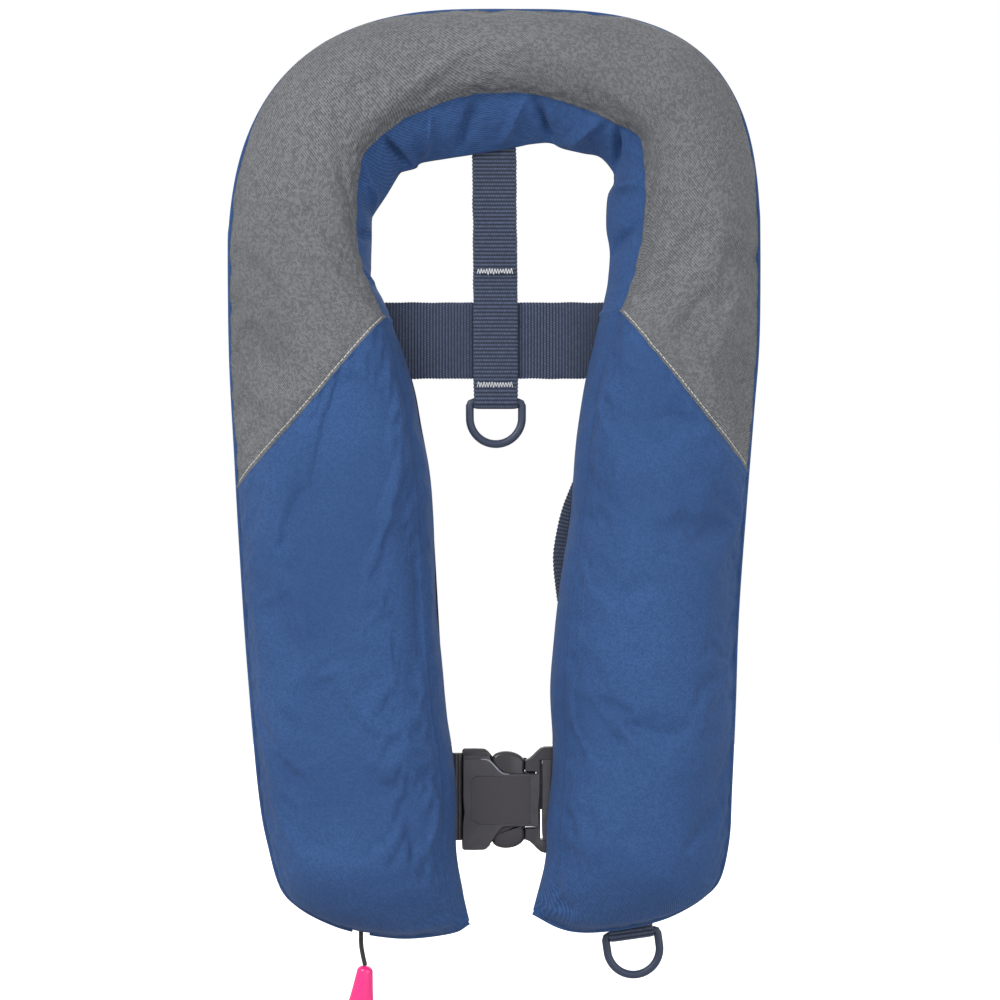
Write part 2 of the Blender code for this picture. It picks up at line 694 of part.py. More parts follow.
def make_strap():
    """The back strap: down from the collar, round the ring's bar and up again behind the back belt."""
    layer = RING_BAR / 2 + GAP + WEB_THICK / 2
    front_y, back_y = BELT_Y["back"] - layer, BELT_Y["back"] + layer
    top_y = BACK_PANEL_Y + FABRIC + GAP + WEB_THICK / 2
    route = [(0, top_y, STRAP_TOP), (0, top_y, 2), (0.2, top_y + 1.5, -14),
             (0.5, mix(top_y, front_y, 0.55), -48), (0.8, front_y - 0.4, -80), (0.9, front_y, -98)]
    path = [Vector((x, y, grade_z(z))) for x, y, z in route]
    ring_x, bar = BACK_RING[0], grade_z(BACK_RING[1])
    path += [Vector((ring_x, BELT_Y["back"] + back, bar - out)) for back, out in half_turn(layer)]
    path += [Vector((0.9, back_y, grade_z(-98))), Vector((0.7, back_y - 0.6, grade_z(STRAP_TAIL_LEVEL)))]
    folded_webbing("back_strap", path, Vector((1, 0, 0)), STRAP_WIDTH)
    face = front_y - WEB_THICK / 2 - GAP
    reach = STRAP_WIDTH / 2 - 2.6
    for name, (level, lean) in TACKS.items():
        z = grade_z(level)
        block(name, (-reach, face - lean - 0.6, z - TACK_HEIGHT / 2),
              (reach, face - lean, z + TACK_HEIGHT / 2), THREAD)


def ring_path(width, drop, steps=12):
    """Centre line of a D-ring that hangs from its straight bar at the origin: (x, z) points."""
    radius = width / 2
    side = drop - radius
    points = [(1.6 - radius, 0.0), (radius - 1.6, 0.0), (radius - 0.4, -0.5), (radius, -1.8), (radius, -side)]
    for i in range(1, steps):
        turn = math.pi * i / steps
        points.append((radius * math.cos(turn), -side - radius * math.sin(turn)))
    return points + [(-radius, -side), (-radius, -1.8), (-radius + 0.4, -0.5)]


def make_rings():
    width = STRAP_WIDTH + 2 * 0.5 + RING_BAR
    spots = {"back_ring": (Vector((BACK_RING[0], BELT_Y["back"], grade_z(BACK_RING[1]))), 0.0),
             "front_ring": (front_ring_place(), FRONT_RING_TILT)}
    for name, (centre, tilt) in spots.items():
        turn = Matrix.Rotation(-math.radians(tilt), 3, "Y")
        points = [turn @ Vector((x, 0, z)) for x, z in ring_path(width, RING_DROP)]
        tube(name, points, RING_BAR / 2, RING_PLASTIC, closed=True).location = metres(centre)


def front_ring_place():
    x, y, z = FRONT_RING_PLACE
    return Vector((grade_x(x), y, grade_z(z)))


def make_ring_tab():
    """A short webbing tab sewn behind the right hem and folded round the front ring's bar."""
    centre = front_ring_place()
    tilt = math.radians(FRONT_RING_TILT)
    layer = RING_BAR / 2 + GAP + WEB_THICK / 2
    up = Vector((-math.sin(tilt), 0, math.cos(tilt)))
    back = Vector((0, 1, 0))
    path = [centre + up * TAB_LENGTH - back * layer]
    path += [centre + back * away - up * out for away, out in half_turn(layer)]
    path.append(centre + up * (TAB_LENGTH - 2) + back * layer)
    folded_webbing("front_ring_tab", path, Vector((math.cos(tilt), 0, math.sin(tilt))), STRAP_WIDTH)


def make_belt_loops():
    """Webbing loops on the back panel that the waist belt runs through."""
    level = grade_z(BUCKLE_LEVEL)
    base = BACK_PANEL_Y + FABRIC + GAP + WEB_THICK / 2
    peak = BELT_Y["buckle"] + WEB_THICK + 2 * GAP + 0.1
    reach = BELT_WIDTH / 2
    upper = [(reach + 16, base), (reach + 7, base), (reach + 3.2, peak - 1.5), (reach - 1, peak)]
    for side in ("left", "right"):
        x = SIGN[side] * (grade_x(OUTER_FOLD_X) - BELT_LOOP_SETBACK * BELT_WIDTH)
        path = [Vector((x, y, level + z)) for z, y in upper]
        path += [Vector((x, y, level - z)) for z, y in upper[::-1]]
        folded_webbing(f"belt_loop_{side}", path, Vector((1, 0, 0)), BELT_LOOP_WIDTH)


# ---------------------------------------------------------------- buckle
def mirrored(points):
    """Upper points (x, height) followed by their mirror image below."""
    return points + [(x, -z) for x, z in points[::-1]]


def at_buckle(points):
    level = grade_z(BUCKLE_LEVEL)
    return [(x, z + level) for x, z in points]


def bend(start, end, count=6):
    """An S-shaped edge between two points that leaves and arrives level."""
    points = []
    for i in range(count + 1):
        t = i / count
        ease = (1 - math.cos(math.pi * t)) / 2
        points.append((mix(start[0], end[0], t), mix(start[1], end[1], ease)))
    return points


def make_housing():
    y = BELT_Y["buckle"]
    half = BUCKLE_THICK / 2
    notch = bend((-6.8, BUCKLE_HALF), (8.0, MOUTH_HALF))
    upper = [(-21.6, BUCKLE_HALF - 1.5), (-20.0, BUCKLE_HALF)] + notch + [(MOUTH_X, MOUTH_HALF)]
    body = plate("buckle_housing", at_buckle(mirrored(upper)), y - half, y + half, PLASTIC, bevel=1.0)
    level = grade_z(BUCKLE_LEVEL)
    bar_reach = BELT_WIDTH / 2 + 1.2
    frame = block("housing_bar_frame", (HOUSING_BAR_X, y - BAR_SIZE / 2, level - bar_reach - 4.5),
                  (-20.0, y + BAR_SIZE / 2, level + bar_reach + 4.5), PLASTIC, bevel=0.9)
    window = block("housing_bar_window", (HOUSING_BAR_X + BAR_SIZE, y - half - 2, level - bar_reach),
                   (-24.0, y + half + 2, level + bar_reach), PLASTIC)
    cavity_top = BUCKLE_HALF - 3
    cavity = block("housing_cavity", (-18.8, y - half + BUCKLE_WALL, level - cavity_top),
                   (MOUTH_X + 5, y + half - BUCKLE_WALL, level + cavity_top), PLASTIC)
    panel_half = MOUTH_HALF - 2.1
    panel = block("housing_panel", (-15.1, y - half - 1, level - panel_half),
                  (23.6, y - half + 0.5, level + panel_half), PLASTIC)
    combine(body, frame, "UNION")
    for opening in (window, cavity, panel):
        combine(body, opening, "DIFFERENCE")


def make_plug():
    """The plug with its guide, and the two latch arms, which bend inwards when their pads are pressed."""
    y = BELT_Y["buckle"]
    level = grade_z(BUCKLE_LEVEL)
    ear = BELT_WIDTH / 2 + 0.9
    top = BUCKLE_HALF
    upper = [(27.7, MOUTH_HALF + 0.7), (20.4, MOUTH_HALF + 0.9), (20.4, top - 8)]
    upper += bend((20.6, top - 7.6), (33.0, top + 0.8), 5)[1:] + [(38.8, top + 1.0), (38.8, ear), (30.3, ear)]
    body = plate("buckle_plug", at_buckle(mirrored(upper)), y - 5.8, y + 5.8, PLASTIC, bevel=0.5)
    bar = block("plug_bar", (PLUG_BAR_X, y - BAR_SIZE / 2, level - ear - 1),
                (PLUG_BAR_X + BAR_SIZE, y + BAR_SIZE / 2, level + ear + 1), PLASTIC, bevel=0.9)
    guide = block("plug_guide", (-14.0, y - 3.4, level - 4), (29.0, y + 3.4, level + 4), PLASTIC, bevel=0.6)
    combine(body, bar, "UNION")
    combine(body, guide, "UNION")
    root_x, root = LATCH_ROOT
    place(body, (root_x, y, level))
    half = BUCKLE_THICK / 2 - BUCKLE_WALL - GAP
    arm = [(27.0, MOUTH_HALF - 5), (27.0, MOUTH_HALF - 1.5), (20.0, MOUTH_HALF - 0.1), (20.0, top - 8.2),
           (16.5, top - 4.6), (9.5, top - 2.2), (3.2, top - 3.4), (-0.6, top - 6.2), (-1.2, top - 11.8),
           (2.5, 15.5), (9.0, 12.0)]
    upper_arm = plate("latch_arm_upper", at_buckle(arm), y - half, y + half, PLASTIC, bevel=0.6)
    place(upper_arm, (root_x, y, level + root))
    below = at_buckle([(x, -z) for x, z in arm])
    lower_arm = plate("latch_arm_lower", below, y - half, y + half, PLASTIC, bevel=0.6)
    place(lower_arm, (root_x, y, level - root))


def make_bar_loop(name, bar_x, sign):
    """A webbing end folded round a buckle bar; both layers run away from the buckle."""
    y = BELT_Y["buckle"]
    level = grade_z(BUCKLE_LEVEL)
    layer = BAR_SIZE / 2 + BAR_PLAY + WEB_THICK / 2
    path = [Vector((bar_x + sign * WEB_TAIL, y - layer, level))]
    path += [Vector((bar_x - sign * out, y + back, level)) for back, out in half_turn(layer)]
    path.append(Vector((bar_x + sign * WEB_TAIL, y + layer, level)))
    folded_webbing(name, path, Vector((0, 0, 1)), BELT_WIDTH)


def make_slider(name, x, parts, finish):
    """Hardware round the back belt, joined from boxes: spans along X, across the belt and front to back."""
    y, level = BELT_Y["back"], grade_z(BACK_BELT_LEVEL)
    body = None
    for i, ((x0, x1), (z0, z1), (y0, y1)) in enumerate(parts):
        piece = block(name if i == 0 else f"{name}_bar{i}", (x + x0, y + y0, level + z0),
                      (x + x1, y + y1, level + z1), finish)
        body = piece if body is None else combine(body, piece, "UNION")
    return place(body, (x, y, level))


def make_belt_hardware():
    """The adjuster's end bars lie behind the belt and its middle bar in front; the keeper is a band."""
    face = WEB_THICK / 2 + GAP
    edge = BELT_WIDTH / 2 + 0.6
    thick, rail, half = 2.2, 4.5, 14.0
    reach = edge + rail - 1
    behind, before = (face, face + thick - 0.2), (-face - thick + 0.2, -face)
    rails = (-face - thick, face + thick)
    make_slider("belt_adjuster", grade_x(ADJUSTER_X), [
        ((-half, half), (edge, edge + rail), rails),
        ((-half, half), (-edge - rail, -edge), rails),
        ((-half, rail - half), (-reach, reach), behind),
        ((half - rail, half), (-reach, reach), behind),
        ((-3, 3), (-reach, reach), before)], PLASTIC)
    band, half = 1.3, 10.0
    depth = (-face - band, face + band)
    wide = (-edge - band / 2, edge + band / 2)
    make_slider("belt_keeper", grade_x(KEEPER_X), [
        ((-half, half), (edge, edge + band), depth),
        ((-half, half), (-edge - band, -edge), depth),
        ((-half, half), wide, (face, face + band)),
        ((-half, half), wide, (-face - band, -face))], LINING)


# ---------------------------------------------------------------- inflator and cords
def make_inflator():
    """Inflator body with its lever, the cylinder screwed into it, the cartridge cap and the status clip."""
    x, y, top = grade_x(CYLINDER_X), CYLINDER_Y, grade_z(INFLATOR_TOP)
    wide, deep, high = INFLATOR_SIZE
    low = top - high
    body = block("inflator_body", (x - wide / 2, y - deep / 2, low), (x + wide / 2, y + deep / 2, top),
                 PLASTIC, bevel=2.0)
    seat = NECK_DEPTH + 0.9
    bore = NECK_RADIUS + 2 * GAP
    collar = turned("inflator_collar", [(0, -4), (9.5, -4), (9.5, COLLAR_RISE), (0, COLLAR_RISE)],
                    PLASTIC, (x, y, top))
    socket = turned("inflator_socket", [(0, -seat), (bore, -seat), (bore, seat), (0, seat)],
                    PLASTIC, (x, y, top), steps=15)
    lug = block("inflator_lug", (x - 11, y - 2.0, low - 8), (x - 1, LEVER_Y - GAP, low + 5), PLASTIC)
    combine(body, collar, "UNION")
    combine(body, socket, "DIFFERENCE")
    combine(body, lug, "UNION")
    lever = [(x - 10, low - 7.5), (x + 8, low - 7.5), (x + 10, low - 6), (x + 10, low - 3),
             (x + 8, low - 1.2), (x - 10, low - 1.2)]
    place(plate("firing_lever", lever, LEVER_Y, LEVER_Y + 3.2, PLASTIC, bevel=0.4),
          (x - 6, LEVER_Y + 1.6, low - 4.35))
    make_cylinder((x, y, top + COLLAR_RISE + GAP))
    cap_x, radius = x + wide / 2 + GAP, CAP_DIAMETER / 2
    cap = [(0, 0), (radius - 1, 0), (radius, 1.2), (radius, CAP_LENGTH - 3), (radius - 3, CAP_LENGTH),
           (0, CAP_LENGTH)]
    cap_place = (cap_x, y, top - high / 2)
    place(turned("auto_cap", cap, YELLOW, cap_place, (1, 0, 0)), cap_place)
    clip_y = y - deep / 2 - GAP
    block("status_clip", (x - 7, clip_y - 1.8, top - 22), (x + 7, clip_y, top - 10), GREEN, bevel=0.5)


def make_cylinder(origin):
    """The gas cylinder, hollow and open through its narrow neck, whose collar it meets at the origin."""
    radius, length, wall = CYLINDER_DIAMETER / 2, CYLINDER_LENGTH, CYLINDER_WALL
    neck, sink, shoulder, bore = NECK_RADIUS, COLLAR_RISE + NECK_DEPTH - 6, NECK_DEPTH, 1.6
    inside = radius - wall
    outline = [(bore, -sink), (neck, -sink), (neck, 2), (neck + 3, 5), (radius - 2.5, shoulder - 4),
               (radius, shoulder), (radius, length - 8), (radius - 3, length - 1.5), (0, length),
               (0, length - wall), (inside - 3, length - 3.5), (inside, length - 9), (inside, shoulder),
               (inside - 3, shoulder - 3), (bore + 1, 4), (bore, 2)]
    place(turned("gas_cylinder", outline, STEEL, origin, hollow=True), origin)


def make_pull():
    """Cord from the lever to the hem, the free cord below it and the toggle."""
    hem = Vector((grade_x(CORD_EXIT[0]), CORD_EXIT[1], grade_z(CORD_EXIT[2])))
    top = grade_z(INFLATOR_TOP) - INFLATOR_SIZE[2] - 6
    inner = [mix(Vector((hem.x, hem.y, top)), hem + Vector((0, 0, 0.4)), i / 8) for i in range(9)]
    tube("inner_pull_cord", inner, CORD_DIAMETER / 2, RUBBER)
    free = [(0.01, -0.9), (0.05, -3), (0.3, -6), (0.9, -9.5), (1.6, -13), (2.3, -16), (2.6, -17.6)]
    tube("pull_cord", [hem + Vector((x, 0, z)) for x, z in free], CORD_DIAMETER / 2, RUBBER)
    make_toggle(hem + Vector((2.9, 0, -18.4)))


def make_toggle(top, steps=12):
    """A flat drop-shaped grip that leans with the cord: rings of (distance down, half width, half depth)."""
    lean = math.radians(TOGGLE_LEAN)
    down = Vector((-math.sin(lean), 0, -math.cos(lean)))
    across = Vector((math.cos(lean), 0, -math.sin(lean)))
    turns = [2 * math.pi * i / steps for i in range(steps)]
    rings = []
    for distance, wide, deep in ((0.0, 3.6, 3.2), (1.6, 5.0, 4.4), (6.0, 5.6, 4.8), (20.0, 7.6, 5.2),
                                 (34.0, 10.4, 5.4), (46.0, 12.4, 5.2), (53.0, 12.2, 4.6), (56.5, 9.6, 3.4)):
        centre = top + down * distance
        rings.append([centre + across * wide * math.cos(t) + Vector((0, deep * math.sin(t), 0)) for t in turns])
    loft("pull_toggle", rings, PINK)


def make_oral_tube():
    """Oral tube, valve and cap in the right lobe's upper part, and the whistle beside them."""
    x, low = grade_x(ORAL_TUBE[0]), grade_z(ORAL_TUBE[1])
    tube_profile = [(0, 0), (ORAL_RADIUS, 0), (ORAL_RADIUS, ORAL_LENGTH), (0, ORAL_LENGTH)]
    turned("oral_tube", tube_profile, RUBBER, (x, ORAL_Y, low), steps=16)
    valve = [(0, 0), (8, 0), (8, 8), (6, 10), (6, VALVE_LENGTH), (0, VALVE_LENGTH)]
    turned("oral_valve", valve, PLASTIC, (x, ORAL_Y, low + ORAL_LENGTH + GAP), steps=16)
    cap = [(0, 0), (8.5, 0), (8.5, 10), (7.5, 12), (0, 12)]
    spot = (x, ORAL_Y, low + ORAL_LENGTH + VALVE_LENGTH + 2 * GAP)
    place(turned("valve_cap", cap, RUBBER, spot, steps=16), spot)
    whistle = [(60, -330), (78, -330), (80, -322), (80, -292), (72, -286), (62, -292)]
    plate("whistle", [tuple(grade(p)) for p in whistle], CROWN_Y + 11, CROWN_Y + 19, YELLOW, bevel=1.0)


def make_lifting_loop():
    """Webbing loop on the bladder, just above the gas cylinder's top."""
    cylinder_top = grade_z(INFLATOR_TOP) + COLLAR_RISE + GAP + CYLINDER_LENGTH
    x, low = grade_x(-112.0), cylinder_top + 13.7
    high = low + LIFTING_LOOP_LENGTH
    block("lifting_loop", (x - 12, CROWN_Y + 14.4, low), (x + 12, CROWN_Y + 17.6, high), NAVY)


def main():
    clear_scene()
    halves = {"left": Side("left"), "right": Side("right")}
    make_yoke(halves)
    make_inner_collar(halves)
    for half in halves.values():
        make_lobe_front(half)
        make_lobe_wall(half)
    make_back_panel(halves)
    make_binding(halves)
    make_closure(halves)
    make_bladder(halves)
    make_back_belt()
    for side in halves:
        make_waist_belt(side)
    make_strap()
    make_rings()
    make_ring_tab()
    make_belt_loops()
    make_housing()
    make_plug()
    make_bar_loop("plug_webbing", PLUG_BAR_X + BAR_SIZE / 2, 1)
    make_bar_loop("housing_webbing", HOUSING_BAR_X + BAR_SIZE / 2, -1)
    make_belt_hardware()
    make_inflator()
    make_pull()
    make_oral_tube()
    make_lifting_loop()


main()
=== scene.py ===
import math
import random

import bmesh
import bpy
import numpy as np
from mathutils import Matrix, Vector, noise


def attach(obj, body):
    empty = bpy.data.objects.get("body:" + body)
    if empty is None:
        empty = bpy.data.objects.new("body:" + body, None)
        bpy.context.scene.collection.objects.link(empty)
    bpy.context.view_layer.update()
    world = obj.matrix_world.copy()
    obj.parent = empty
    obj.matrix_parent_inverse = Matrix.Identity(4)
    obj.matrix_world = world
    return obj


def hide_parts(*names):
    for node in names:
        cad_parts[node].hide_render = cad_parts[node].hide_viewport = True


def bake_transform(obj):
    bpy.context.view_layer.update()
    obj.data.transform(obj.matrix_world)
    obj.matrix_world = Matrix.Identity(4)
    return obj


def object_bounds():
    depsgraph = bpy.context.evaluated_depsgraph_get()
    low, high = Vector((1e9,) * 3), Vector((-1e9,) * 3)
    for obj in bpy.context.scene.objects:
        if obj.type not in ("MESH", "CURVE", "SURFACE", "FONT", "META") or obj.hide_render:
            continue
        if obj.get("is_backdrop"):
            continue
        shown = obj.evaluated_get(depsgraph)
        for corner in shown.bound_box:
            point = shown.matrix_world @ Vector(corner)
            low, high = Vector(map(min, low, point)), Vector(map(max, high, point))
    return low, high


# Inflatable life jacket: fine surfaces, webbing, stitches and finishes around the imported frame.
# Sizes here are in millimetres; toMetres() gives Blender's units.

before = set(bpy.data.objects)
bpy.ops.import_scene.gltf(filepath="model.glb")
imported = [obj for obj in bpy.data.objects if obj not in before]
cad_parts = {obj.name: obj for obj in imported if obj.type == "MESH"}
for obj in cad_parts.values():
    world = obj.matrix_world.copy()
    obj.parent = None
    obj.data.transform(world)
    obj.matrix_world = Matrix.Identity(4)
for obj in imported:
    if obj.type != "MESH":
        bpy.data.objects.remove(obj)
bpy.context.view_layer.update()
random.seed(7)
print("frame loaded:", len(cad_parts), "nodes")


def toMetres(points):
    return np.asarray(points, float) * 0.001


def mixed(a, b, t):
    return a + (b - a) * t


def smoothStep(low, high, x):
    t = np.clip((np.asarray(x, float) - low) / (high - low), 0, 1)
    return t * t * (3 - 2 * t)


def placed(name, data):
    made = bpy.data.objects.new(name, data)
    bpy.context.scene.collection.objects.link(made)
    return made


# Camera and light.

cameraRig = {"middle": (3.9, -227.5), "facePlane": 13.0, "distance": 2167.0, "lens": 120.0, "sensor": 36.0}


def makeCamera():
    data = bpy.data.cameras.new("camera")
    data.lens = cameraRig["lens"]
    data.sensor_width = cameraRig["sensor"]
    camera = placed("camera", data)
    x, z = cameraRig["middle"]
    camera.location = toMetres((x, cameraRig["facePlane"] - cameraRig["distance"], z))
    camera.rotation_euler = (math.radians(90), 0, 0)
    bpy.context.scene.camera = camera


studio = {
    "skyColour": (1.0, 1.0, 1.0), "skyStrength": 0.72, "floorSize": 3.0, "floorLevel": -0.605,
    "lamps": [
        # name, place, aim, size, watts
        ("keyLamp", (-1.3, -1.7, 0.9), (0, 0, -0.25), 1.1, 30.0),
        ("fillLamp", (1.6, -1.5, 0.2), (0, 0, -0.25), 1.6, 9.0),
        ("backLamp", (0.3, 1.9, 0.8), (0, 0, -0.25), 1.6, 14.0),
        ("lowLamp", (0.5, -1.3, -0.5), (0.02, 0, -0.10), 0.9, 2.4),
    ],
}


def makeStudio():
    scene = bpy.context.scene
    scene.view_settings.view_transform = "Standard"
    world = bpy.data.worlds.new("studio")
    world.use_nodes = True
    sky = world.node_tree.nodes["Background"]
    sky.inputs["Color"].default_value = (*studio["skyColour"], 1)
    sky.inputs["Strength"].default_value = studio["skyStrength"]
    # the camera sees a plain white behind the object, whatever the light's strength
    nodes, links = world.node_tree.nodes, world.node_tree.links
    seen = nodes.new("ShaderNodeBackground")
    seen.inputs["Color"].default_value = (1, 1, 1, 1)
    path = nodes.new("ShaderNodeLightPath")
    either = nodes.new("ShaderNodeMixShader")
    links.new(path.outputs["Is Camera Ray"], either.inputs[0])
    links.new(sky.outputs[0], either.inputs[1])
    links.new(seen.outputs[0], either.inputs[2])
    links.new(either.outputs[0], nodes["World Output"].inputs["Surface"])
    scene.world = world
    for name, place, aim, size, watts in studio["lamps"]:
        data = bpy.data.lights.new(name, "AREA")
        data.size = size
        data.energy = watts
        lamp = placed(name, data)
        lamp.location = place
        lamp.rotation_euler = (Vector(aim) - Vector(place)).to_track_quat("-Z", "Y").to_euler()
    mesh = bmesh.new()
    bmesh.ops.create_grid(mesh, x_segments=1, y_segments=1, size=studio["floorSize"])
    floor = meshObject("studioFloor", mesh, paleFloor())
    floor.location = (0, 0, studio["floorLevel"])
    floor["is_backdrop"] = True


# Shader helpers and the shared groups.

def nodeOf(tree, kind, **values):
    made = tree.nodes.new(kind)
    for key, value in values.items():
        if key in made.inputs.keys():
            made.inputs[key].default_value = value
        else:
            setattr(made, key, value)
    return made


def mathNode(tree, operation, a, b=None, c=None):
    made = tree.nodes.new("ShaderNodeMath")
    made.operation = operation
    for i, value in enumerate((a, b, c)):
        if value is None:
            continue
        if isinstance(value, (int, float)):
            made.inputs[i].default_value = value
        else:
            tree.links.new(value, made.inputs[i])
    return made.outputs[0]


def waveOf(tree, steps):
    # a sine from 0 to 1 that repeats at every whole step
    wave = mathNode(tree, "SINE", mathNode(tree, "MULTIPLY", steps, 2 * math.pi))
    return mathNode(tree, "MULTIPLY_ADD", wave, 0.5, 0.5)


def newGroup(name, inputs, outputs):
    group = bpy.data.node_groups.new(name, "ShaderNodeTree")
    for label, kind, value in inputs:
        socket = group.interface.new_socket(name=label, in_out="INPUT", socket_type=kind)
        if value is not None:
            socket.default_value = value
    for label, kind in outputs:
        group.interface.new_socket(name=label, in_out="OUTPUT", socket_type=kind)
    start = group.nodes.new("NodeGroupInput")
    end = group.nodes.new("NodeGroupOutput")
    return group, start, end


def mixColour(tree, factor, a, b):
    made = tree.nodes.new("ShaderNodeMix")
    made.data_type = "RGBA"
    for socket, value in ((made.inputs[0], factor), (made.inputs[6], a), (made.inputs[7], b)):
        if isinstance(value, (int, float, tuple)):
            socket.default_value = value
        else:
            tree.links.new(value, socket)
    return made.outputs[2]


def weaveGroup():
    # twill: slanting ridges of yarn, each broken into short floats, no two quite the same shade
    group, start, end = newGroup(
        "clothTwill",
        [("Along", "NodeSocketFloat", 0.0), ("Across", "NodeSocketFloat", 0.0),
         ("Threads", "NodeSocketFloat", 600.0), ("Fleck", "NodeSocketFloat", 0.5),
         ("Dark", "NodeSocketColor", (0.1, 0.1, 0.1, 1)), ("Light", "NodeSocketColor", (0.5, 0.5, 0.5, 1))],
        [("Colour", "NodeSocketColor"), ("Height", "NodeSocketFloat")])
    out = start.outputs
    ridge = mathNode(group, "MULTIPLY", mathNode(group, "ADD", out["Along"], out["Across"]), out["Threads"])
    lane = mathNode(group, "FLOOR", ridge)
    counter = mathNode(group, "SUBTRACT", out["Along"], out["Across"])
    yarn = mathNode(group, "MULTIPLY_ADD", lane, 0.37, mathNode(group, "MULTIPLY", counter, out["Threads"]))
    waves = [waveOf(group, x) for x in (ridge, yarn)]
    cell = nodeOf(group, "ShaderNodeCombineXYZ")
    group.links.new(lane, cell.inputs[0])
    group.links.new(mathNode(group, "FLOOR", yarn), cell.inputs[1])
    shade = nodeOf(group, "ShaderNodeTexWhiteNoise", noise_dimensions="3D")
    group.links.new(cell.outputs[0], shade.inputs["Vector"])
    height = mathNode(group, "MULTIPLY", waves[0], mathNode(group, "MULTIPLY_ADD", waves[1], 0.55, 0.45))
    offMiddle = mathNode(group, "SUBTRACT", shade.outputs["Value"], 0.5)
    varied = mathNode(group, "MULTIPLY", offMiddle, out["Fleck"])
    tone = mathNode(group, "ADD", mathNode(group, "MULTIPLY_ADD", height, 0.7, 0.12), varied)
    made = mixColour(group, tone, out["Dark"], out["Light"])
    group.links.new(made, end.inputs["Colour"])
    group.links.new(height, end.inputs["Height"])
    return group


def grainGroup():
    # fine moulded grain with broader unevenness, for bump and roughness
    group, start, end = newGroup(
        "mouldedGrain",
        [("Vector", "NodeSocketVector", None), ("Scale", "NodeSocketFloat", 900.0),
         ("Low", "NodeSocketFloat", 0.3), ("High", "NodeSocketFloat", 0.5)],
        [("Height", "NodeSocketFloat"), ("Roughness", "NodeSocketFloat")])
    fine = nodeOf(group, "ShaderNodeTexNoise", Detail=3.0)
    broad = nodeOf(group, "ShaderNodeTexNoise", Detail=2.0)
    for texture, share in ((fine, 1.0), (broad, 0.03)):
        group.links.new(start.outputs["Vector"], texture.inputs["Vector"])
        group.links.new(mathNode(group, "MULTIPLY", start.outputs["Scale"], share), texture.inputs["Scale"])
    both = mathNode(group, "MULTIPLY_ADD", fine.outputs["Fac"], 0.5,
                    mathNode(group, "MULTIPLY", broad.outputs["Fac"], 0.5))
    spread = mathNode(group, "SUBTRACT", start.outputs["High"], start.outputs["Low"])
    rough = mathNode(group, "MULTIPLY_ADD", both, spread, start.outputs["Low"])
    group.links.new(rough, end.inputs["Roughness"])
    group.links.new(fine.outputs["Fac"], end.inputs["Height"])
    return group


def wearGroup():
    # edges rubbed lighter
    group, start, end = newGroup(
        "edgeWear",
        [("Colour", "NodeSocketColor", (0.1, 0.1, 0.1, 1)), ("Worn", "NodeSocketColor", (0.3, 0.3, 0.3, 1)),
         ("Amount", "NodeSocketFloat", 0.5), ("Vector", "NodeSocketVector", None)],
        [("Colour", "NodeSocketColor"), ("Mask", "NodeSocketFloat")])
    geometry = nodeOf(group, "ShaderNodeNewGeometry")
    edge = nodeOf(group, "ShaderNodeMapRange", clamp=True)
    edge.inputs["From Min"].default_value, edge.inputs["From Max"].default_value = 0.52, 0.62
    group.links.new(geometry.outputs["Pointiness"], edge.inputs["Value"])
    patchy = nodeOf(group, "ShaderNodeTexNoise", Scale=160.0, Detail=3.0)
    group.links.new(start.outputs["Vector"], patchy.inputs["Vector"])
    mask = mathNode(group, "MULTIPLY", edge.outputs[0], patchy.outputs["Fac"])
    mask = mathNode(group, "MULTIPLY", mask, start.outputs["Amount"])
    rubbed = mixColour(group, mask, start.outputs["Colour"], start.outputs["Worn"])
    group.links.new(rubbed, end.inputs["Colour"])
    group.links.new(mask, end.inputs["Mask"])
    return group


groups = {"weave": weaveGroup(), "grain": grainGroup(), "wear": wearGroup()}


def startMaterial(name, **shader):
    made = bpy.data.materials.new(name)
    made.use_nodes = True
    tree = made.node_tree
    principled = tree.nodes["Principled BSDF"]
    for key, value in shader.items():
        principled.inputs[key.replace("_", " ")].default_value = value
    return made, tree, principled


def placeGroup(tree, name, **values):
    made = tree.nodes.new("ShaderNodeGroup")
    made.node_tree = groups[name]
    for key, value in values.items():
        made.inputs[key].default_value = value
    return made


def addBump(tree, principled, height, distance, strength=1.0):
    bump = nodeOf(tree, "ShaderNodeBump")
    bump.inputs["Strength"].default_value = strength
    bump.inputs["Distance"].default_value = distance
    tree.links.new(height, bump.inputs["Height"])
    tree.links.new(bump.outputs[0], principled.inputs["Normal"])


def clothPlaces(tree):
    # how far along and across the flat cloth a point lies
    uv = nodeOf(tree, "ShaderNodeUVMap", uv_map="cloth")
    parts = nodeOf(tree, "ShaderNodeSeparateXYZ")
    tree.links.new(uv.outputs[0], parts.inputs[0])
    return parts.outputs


